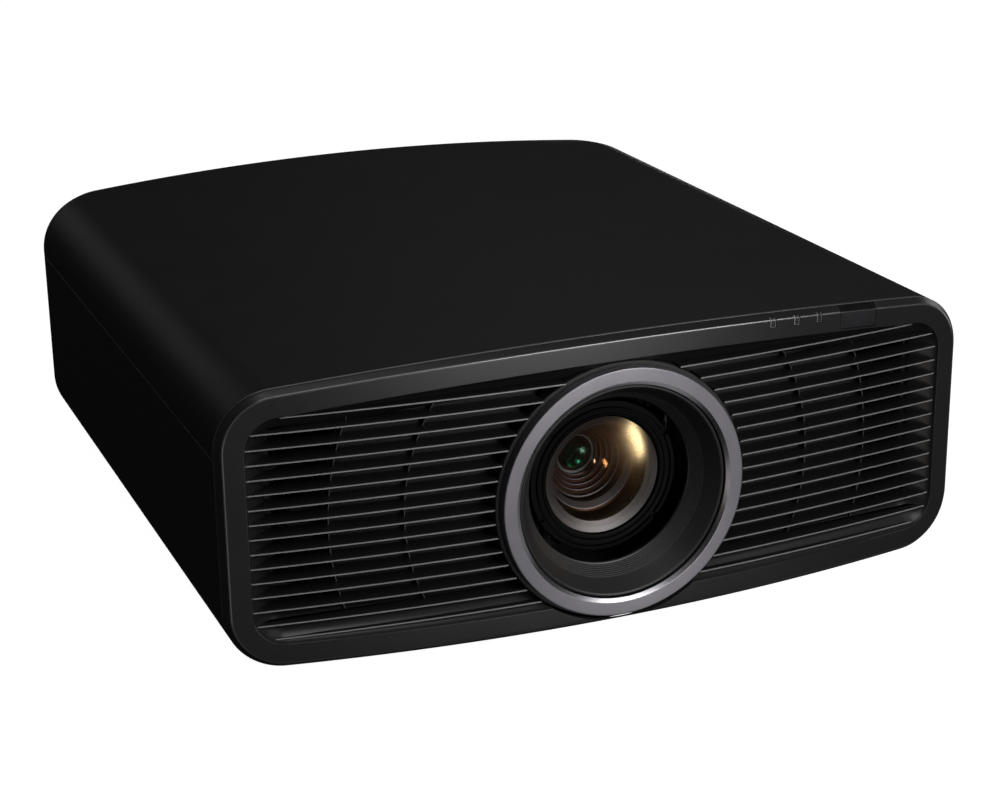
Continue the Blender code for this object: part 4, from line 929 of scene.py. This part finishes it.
def make_variator():
    """The zooming cell: a stepped funnel of thin bright edges round two deeper glasses.

    The funnel is narrower than the cone's bore, so that it slides into the cone with zoom and focus.
    """
    mount = [(19.6, -158.0), (24.4, -160.0), (33.0, -160.0), (33.0, -135.0), (22.0, -135.0), (15.6, -148.0)]
    mount = turned(mount, steps=112)
    add_piece("variator_mount", mount, ANODISED, "variator", ["variator_cell"])
    steps = ((21.6, -183.6), (18.8, -181.0), (16.4, -178.4), (14.2, -175.8), (12.2, -173.2), (10.4, -170.8))
    tube = [(22.3, -184.2)]
    for (radius, y), (inner, _) in zip(steps, steps[1:] + ((8.8, 0),)):
        tube += [(radius + 0.35, y - 0.25), (radius, y), (radius - 0.1, y + 2.2), (inner + 0.6, y + 2.35)]
    tube += [(8.9, -168.2), (8.6, -161.0), (22.3, -161.0)]

    def dark(face):
        c = face.calc_center_median()
        lip = any(abs(c.y - (y - 0.12)) < 0.1 for _, y in steps)
        return not lip and c.y >= -183.8

    funnel = turned(tube, steps=112)
    add_piece("rear_funnel", funnel, [SILVER, UMBER], "variator", pick=dark)
    add_glass("fourth_glass", dome(8.0, 0.85, -183.6, 1.0, bend=0.8), 56, PALE_GLASS, "variator")
    add_glass("fifth_glass", dome(8.0, -1.2, -174.0, 1.0, bend=0.9), 56, GREEN_GLASS, "variator")
    stop = turned(rod(15.5, -160.5, -150.0), steps=64)
    add_piece("aperture_stop", stop, DEEP_BLACK, "variator")


# ---------------------------------------------------------------- rear


def panel_line(inset):
    """Closed loop (x, z) of the rear panel, following the casing where it has narrowed towards the rear."""
    squeeze = 1 - PLAN_RADIUS * (1 - cos(radians(PLAN_SWEEP))) / HALF
    fall = REAR_FALL / (HEIGHT - SEAM_Z)
    return [(x * squeeze, z - fall * max(z - SEAM_Z, 0.0)) for x, z in outline(inset, 14, 12)]


def slot_rows(shape, x0, x1, y0, y1, base):
    """Rows of round-ended slots, cut from the front to the back of a plate."""
    for i in range(SLOT_ROWS):
        z = base + 3 + i * SLOT_PITCH
        add_plate(shape, x0, x1, y0, y1, z, z + SLOT_HEIGHT, 2.2)


def key_radius(name):
    low, high = span(name)
    return (high.x - low.x) / 2 - KEY_FLANGE


def make_rear_panel():
    y0, y1 = PANEL_Y
    through = (y0 - 2, y1 + 2)
    shape = bmesh.new()
    loops = ((WALL + 1.9, y0), (WALL + 1.9, y1 - 0.5), (WALL + 2.05, y1 - 0.15), (WALL + 2.4, y1))
    add_loft(shape, [[(x, y, z) for x, z in panel_line(inset)] for inset, y in loops])
    panel = add_piece("rear_plate", shape, CASE_BLACK, "casing", place=False)
    holes, grooves = bmesh.new(), bmesh.new()
    x0, x1, z0, z1 = FILTER_BOX
    add_box(holes, x0, x1, *through, z0, z1)
    slot_rows(holes, -x1, -x0, *through, z0)
    gap = 0.3
    low, high = span("hdmi_socket_1")[0], span("trigger_socket")[1]
    add_plate(holes, low.x - gap, high.x + gap, *through, low.z - gap, high.z + gap, 0.4)
    add_plate(grooves, low.x - 3, high.x + 3, y1 - 0.4, y1 + 2, low.z - 3, high.z + 3, 4)
    low, high = span("ac_inlet")
    add_plate(holes, low.x - gap, high.x + gap, *through, low.z - gap, high.z + gap, 1.2)
    for name in KEYS:
        add_turned(holes, rod(key_radius(name) + 0.4, *through), centre_of(name), 40)
    add_plate(grooves, *KEY_FIELD[:2], y1 - 0.5, y1 + 2, *KEY_FIELD[2:], 8)
    carve(panel, grooves, holes)
    soften(panel, 0.2, 2, 50)
    settle(panel, "casing", ["rear_panel"], flat=False)

    screws = bmesh.new()
    head = ((0, 0.35), (1.0, 0.35), (1.3, 1.0), (2.6, 0.9), (3.2, 0.5), (3.3, -0.02), (0, -0.02))
    for centre in PANEL_SCREWS:
        add_turned(screws, shifted(y1, head), centre, 32)
    add_piece("panel_screws", screws, STEEL, "casing")


def centre_of(node):
    low, high = span(node)
    return ((low.x + high.x) / 2, (low.z + high.z) / 2)


KEYS = ["key_" + word for word in ("ok", "up", "down", "left", "right", "power", "input", "menu", "back")]


def make_keys():
    """Dished round keys, each on its own body."""
    for name in KEYS:
        y0, y1 = (corner.y for corner in span(name))
        r = key_radius(name)
        profile = [(0, y0), (r + KEY_FLANGE, y0), (r + KEY_FLANGE, y0 + 2.2), (r, y0 + 2.2), (r, y1 - 0.6)]
        profile += [(r - 0.12, y1 - 0.25), (r - 0.4, y1 - 0.05), (r - 0.8, y1)]
        profile += [(r * 0.55, y1 - 0.22), (r * 0.3, y1 - 0.32), (0, y1 - 0.36)]
        cap = turned(profile, centre_of(name), 48)
        add_piece(name + "_cap", cap, SATIN_BLACK, BODY_OF[name], [name])


def make_sockets():
    """Tongues, contacts, pins and nuts of the sockets, over the CAD's own shells."""
    tongues, contacts = bmesh.new(), bmesh.new()
    z = SOCKET_Z
    y1 = span("hdmi_socket_1")[1].y
    for x in HDMI_X:
        add_box(tongues, x - 5.6, x + 5.6, y1 - 11.8, y1 - 1.6, z - 0.5, z + 0.9)
        for i in range(10):
            add_box(contacts, x - 4.9 + i, x - 4.5 + i, y1 - 11.0, y1 - 2.0, z - 0.72, z - 0.52)
    x, y1 = LAN_X, span("lan_socket")[1].y
    for i in range(8):
        add_box(contacts, x - 3.7 + i, x - 3.3 + i, y1 - 11.0, y1 - 3.0, z + 2.4, z + 2.8)
    x, y1 = SERIAL_X, span("serial_socket")[1].y
    add_plate(tongues, x - 7.9, x + 7.9, y1 - 11.6, y1 - 0.6, z - 3.4, z + 3.4, 1.6)
    for count, start, pz in ((5, x - 5.5, z + 1.4), (4, x - 4.1, z - 1.4)):
        for i in range(count):
            add_turned(contacts, rod(0.62, y1 - 1.2, y1 - 0.35), (start + 2.75 * i, pz), 16)
    (x, z), y1 = centre_of("ac_inlet"), span("ac_inlet")[1].y
    pins = bmesh.new()
    for px, pz in ((-7.0, -1.8), (0.0, 1.8), (7.0, -1.8)):
        add_plate(pins, x + px - 1.0, x + px + 1.0, y1 - 15.8, y1 - 4.0, z + pz - 2.0, z + pz + 2.0, 0.6)
    add_piece("socket_tongues", tongues, GLOSS, "casing")
    add_piece("socket_contacts", contacts, GOLD, "casing")
    add_piece("inlet_pins", pins, NICKEL, "casing")
    nuts = bmesh.new()
    y1 = PANEL_Y[1] - 0.1
    for px in (SERIAL_X - 12.6, SERIAL_X + 12.6):
        profile = ((2.6, y1 + 0.02), (2.6, y1 + 2.2), (1.3, y1 + 2.4), (1.3, y1 + 0.02))
        add_turned(nuts, profile, (px, SOCKET_Z), 6)
    add_piece("socket_nuts", nuts, NICKEL, "casing")


def make_filter():
    """The filter's cover: a rounded door with a hollow tray, slots and a finger grip."""
    x0, x1, z0, z1 = FILTER_BOX
    y1 = PANEL_Y[1]
    shape = bmesh.new()
    add_plate(shape, x0 - 2, x1 + 2, y1 + 0.3, REAR, z0 - 2, z1 + 2, 5.0, 8)
    cover = add_piece("filter_door", shape, CASE_BLACK, "filter", place=False)
    carve(cover, box(x0 + 0.4, x1 - 0.4, y1 - 10, y1 + 1, z0 + 0.4, z1 - 0.4), operation="UNION")
    cavity = box(x0 + 2.4, x1 - 2.4, y1 - 12, y1 - 0.5, z0 + 2.4, z1 - 2.4)
    slots = bmesh.new()
    slot_rows(slots, x0 + 5, x1 - 5, y1 - 3, REAR + 2, z0)
    grip = bmesh.new()
    add_plate(grip, x0 + 36, x1 - 36, REAR - 0.9, REAR + 1, z1 - 1.6, z1 + 1.0, 1.0)
    carve(cover, cavity, slots, grip)
    soften(cover, 0.25, 2, 50)
    settle(cover, "filter", ["filter_cover"], flat=False)


def make_feet():
    """Fluted levelling wheels on their studs, each with a rubber pad."""
    tread = [(0, 0.6), (4.0, 0.6), (4.6, 0.0), (13.6, 0.0), (14.6, 0.5), (15.0, 1.3), (14.8, 2.3), (0, 2.38)]
    flutes = 48
    for end, y in zip(("front", "rear"), FOOT_Y):
        for side, x in (("left", -FOOT_X), ("right", FOOT_X)):
            name = f"foot_{end}_{side}"
            wheel = bmesh.new()
            rings = []
            for z, bite in ((2.4, 0.0), (3.0, 0.55), (7.2, 0.55), (7.8, 0.0)):
                ring = []
                for k in range(flutes * 2):
                    a = pi * k / flutes
                    r = 14.6 - (bite if k % 2 else 0.0)
                    ring.append((x + r * cos(a), y + r * sin(a), z))
                rings.append(ring)
            add_loft(wheel, rings)
            add_turned(wheel, rod(4.0, 7.8, 18.0), (x, y), 32, "Z")
            add_piece(name + "_wheel", wheel, SATIN_BLACK, BODY_OF[name])
            add_piece(name + "_pad", turned(tread, (x, y), 56, "Z"), RUBBER, BODY_OF[name], [name])


# ---------------------------------------------------------------- kept CAD nodes


def dress(nodes, finish, edge=0.0):
    """Gives kept CAD nodes their finish, and rounds their edges if asked."""
    for node in nodes.split():
        piece = frame["nodes"][node]
        piece.data.materials.clear()
        piece.data.materials.append(finish)
        if edge:
            soften(piece, edge, 2, 40)


def dress_inside():
    dress("chassis_plate lens_mount_frame", ZINC, 0.3)
    dress("vertical_carriage horizontal_carriage", ALUMINIUM, 0.3)
    dress("heat_sink phosphor_wheel", ALUMINIUM)
    dress("imaging_panel_red imaging_panel_green imaging_panel_blue", ALUMINIUM)
    dress("vertical_shift_screw horizontal_shift_screw focus_motor zoom_motor", STEEL)
    dress("focus_pinion zoom_pinion", SATIN_BLACK)
    dress("lens_barrel focus_ring zoom_ring", ANODISED)
    dress("optical_engine laser_module", CAST, 0.4)
    dress("prism_block", PRISM, 0.2)
    for side in ("left", "right"):
        dress(f"exhaust_fan_{side}_frame exhaust_fan_{side}_rotor", DEEP_BLACK)
    dress("main_board power_supply", BOARD)
    dress("air_filter", PAPER)
    dress("hdmi_socket_1 hdmi_socket_2 lan_socket serial_socket trigger_socket", NICKEL, 0.25)
    dress("ac_inlet", GLOSS, 0.4)


# ---------------------------------------------------------------- studio

VIEW_ANGLES = (22.336, 19.658, -0.72)
VIEW_POINT = (-0.492936, -1.258087, 0.548357)
FOCAL_LENGTH = 79.54


def soft_light(name, place, aim, width, height, power, colour=(1.0, 1.0, 1.0), only=(), spare=(), spin=0):
    """A soft box that lights everything, only some pieces, or everything but some pieces."""
    lamp = bpy.data.lights.new(name, "AREA")
    lamp.shape = "RECTANGLE"
    lamp.size, lamp.size_y = width, height
    lamp.energy = power
    lamp.color = colour
    made = bpy.data.objects.new(name, lamp)
    made.location = place
    made.rotation_mode = "QUATERNION"
    turned_by = Quaternion((0.0, 0.0, 1.0), radians(spin))
    made.rotation_quaternion = (Vector(aim) - Vector(place)).to_track_quat("-Z", "Y") @ turned_by
    bpy.context.scene.collection.objects.link(made)
    made.visible_camera = False
    if only or spare:
        reach = bpy.data.collections.new(name + "_reach")
        for piece in only or spare:
            reach.objects.link(piece)
        for entry in reach.collection_objects:
            entry.light_linking.link_state = "INCLUDE" if only else "EXCLUDE"
        made.light_linking.receiver_collection = reach


def make_floor():
    """A pale floor that glows like the background, and neither shows in the gloss nor lights the object."""
    shape = bmesh.new()
    bmesh.ops.create_grid(shape, x_segments=8, y_segments=8, size=30000)
    floor = as_object("studio_floor", shape)
    floor.location.z = -0.0005
    paper = Nodes("studio_paper")
    settings = {"Base Color": (0.30, 0.30, 0.30, 1.0), "Roughness": 0.95, "Specular IOR Level": 0.0}
    settings |= {"Emission Color": (1.0, 1.0, 1.0, 1.0), "Emission Strength": 0.99}
    for name, value in settings.items():
        paper.shader.inputs[name].default_value = value
    floor.data.materials.append(paper.material)
    floor.visible_glossy = floor.visible_diffuse = floor.visible_shadow = False


def make_world():
    """White behind the object, and almost dark for the rays that light it."""
    world = bpy.data.worlds.new("studio")
    bpy.context.scene.world = world
    world.use_nodes = True
    tree = world.node_tree
    tree.nodes.clear()
    output = tree.nodes.new("ShaderNodeOutputWorld")
    path, mix = tree.nodes.new("ShaderNodeLightPath"), tree.nodes.new("ShaderNodeMixShader")
    tree.links.new(path.outputs["Is Camera Ray"], mix.inputs[0])
    for socket, colour, strength in ((1, (0.9, 0.95, 1.0, 1.0), 0.012), (2, (1.0, 1.0, 1.0, 1.0), 1.0)):
        light = tree.nodes.new("ShaderNodeBackground")
        light.inputs["Color"].default_value = colour
        light.inputs["Strength"].default_value = strength
        tree.links.new(light.outputs[0], mix.inputs[socket])
    tree.links.new(mix.outputs[0], output.inputs["Surface"])


def make_lights():
    """Soft boxes. The lens and its ring have their own, placed where their surfaces mirror them."""
    centre, face = (0.0, -0.1, 0.09), (0.0, -0.24, 0.09)
    lens = [piece for piece in bpy.context.scene.objects if piece.name.endswith("_glass")]
    ring = [bpy.data.objects["trim_ring"]]
    soft_light("key_front_right", (0.85, -1.85, 1.08), face, 1.2, 0.8, 22, spare=lens)
    soft_light("overhead", (-0.3, -1.1, 1.75), centre, 1.2, 0.8, 7, spare=lens)
    soft_light("front_fill", (1.0, -3.3, -0.35), face, 1.2, 1.2, 15, spare=lens)
    soft_light("right_low", (1.9, 0.1, 0.45), centre, 0.5, 1.2, 4, spare=lens)
    soft_light("back_right", (1.0, 1.9, 2.0), centre, 1.2, 0.8, 1.0, spare=lens)
    soft_light("back_left", (-0.9, 2.4, 1.0), centre, 1.2, 0.5, 0.8, spare=lens)
    soft_light("lens_glint", (1.017, -1.055, 0.07), face, 0.2, 0.5, 7, (1.0, 0.93, 0.82), only=lens, spin=25)
    deep = [bpy.data.objects[name] for name in ("fourth_glass", "fifth_glass")]
    soft_light("lens_depth", (0.55, -1.63, -0.064), face, 0.13, 0.13, 0.45, only=deep)
    soft_light("left_low", (-1.3, -2.2, -0.7), face, 1.0, 0.8, 2.5, (1.0, 0.92, 0.86), spare=lens)
    soft_light("rear_low", (0.9, 2.3, -0.3), (0.0, 0.24, 0.09), 1.2, 0.8, 9)
    soft_light("ring_below", (0.4, -0.5, -0.8), face, 0.8, 0.8, 1.0, only=ring)
    soft_light("ring_right", (1.2, -0.4, -0.36), face, 0.6, 0.6, 0.5, only=ring)


def make_camera():
    """The camera at the photograph's viewing angle, level but for a slight roll."""
    azimuth, elevation, roll = (radians(a) for a in VIEW_ANGLES)
    ahead = Vector((sin(azimuth) * cos(elevation), cos(azimuth) * cos(elevation), -sin(elevation)))
    level = Vector((cos(azimuth), -sin(azimuth), 0.0))
    upright = level.cross(ahead)
    right = level * cos(roll) + upright * sin(roll)
    up = right.cross(ahead)
    lens = bpy.data.cameras.new("camera")
    lens.lens = FOCAL_LENGTH
    lens.sensor_width = 36.0
    lens.sensor_fit = "HORIZONTAL"
    camera = bpy.data.objects.new("camera", lens)
    bpy.context.scene.collection.objects.link(camera)
    turn = Matrix((right, up, -ahead)).transposed().to_4x4()
    camera.matrix_world = Matrix.Translation(VIEW_POINT) @ turn
    bpy.context.scene.camera = camera
    bpy.context.scene.view_settings.view_transform = "Standard"


make_casing()
make_bezel()
make_blades()
make_grille_back()
make_lens_surround()
make_front_group()
make_variator()
make_rear_panel()
make_keys()
make_sockets()
make_filter()
make_feet()
dress_inside()
make_floor()
make_world()
make_lights()
make_camera()
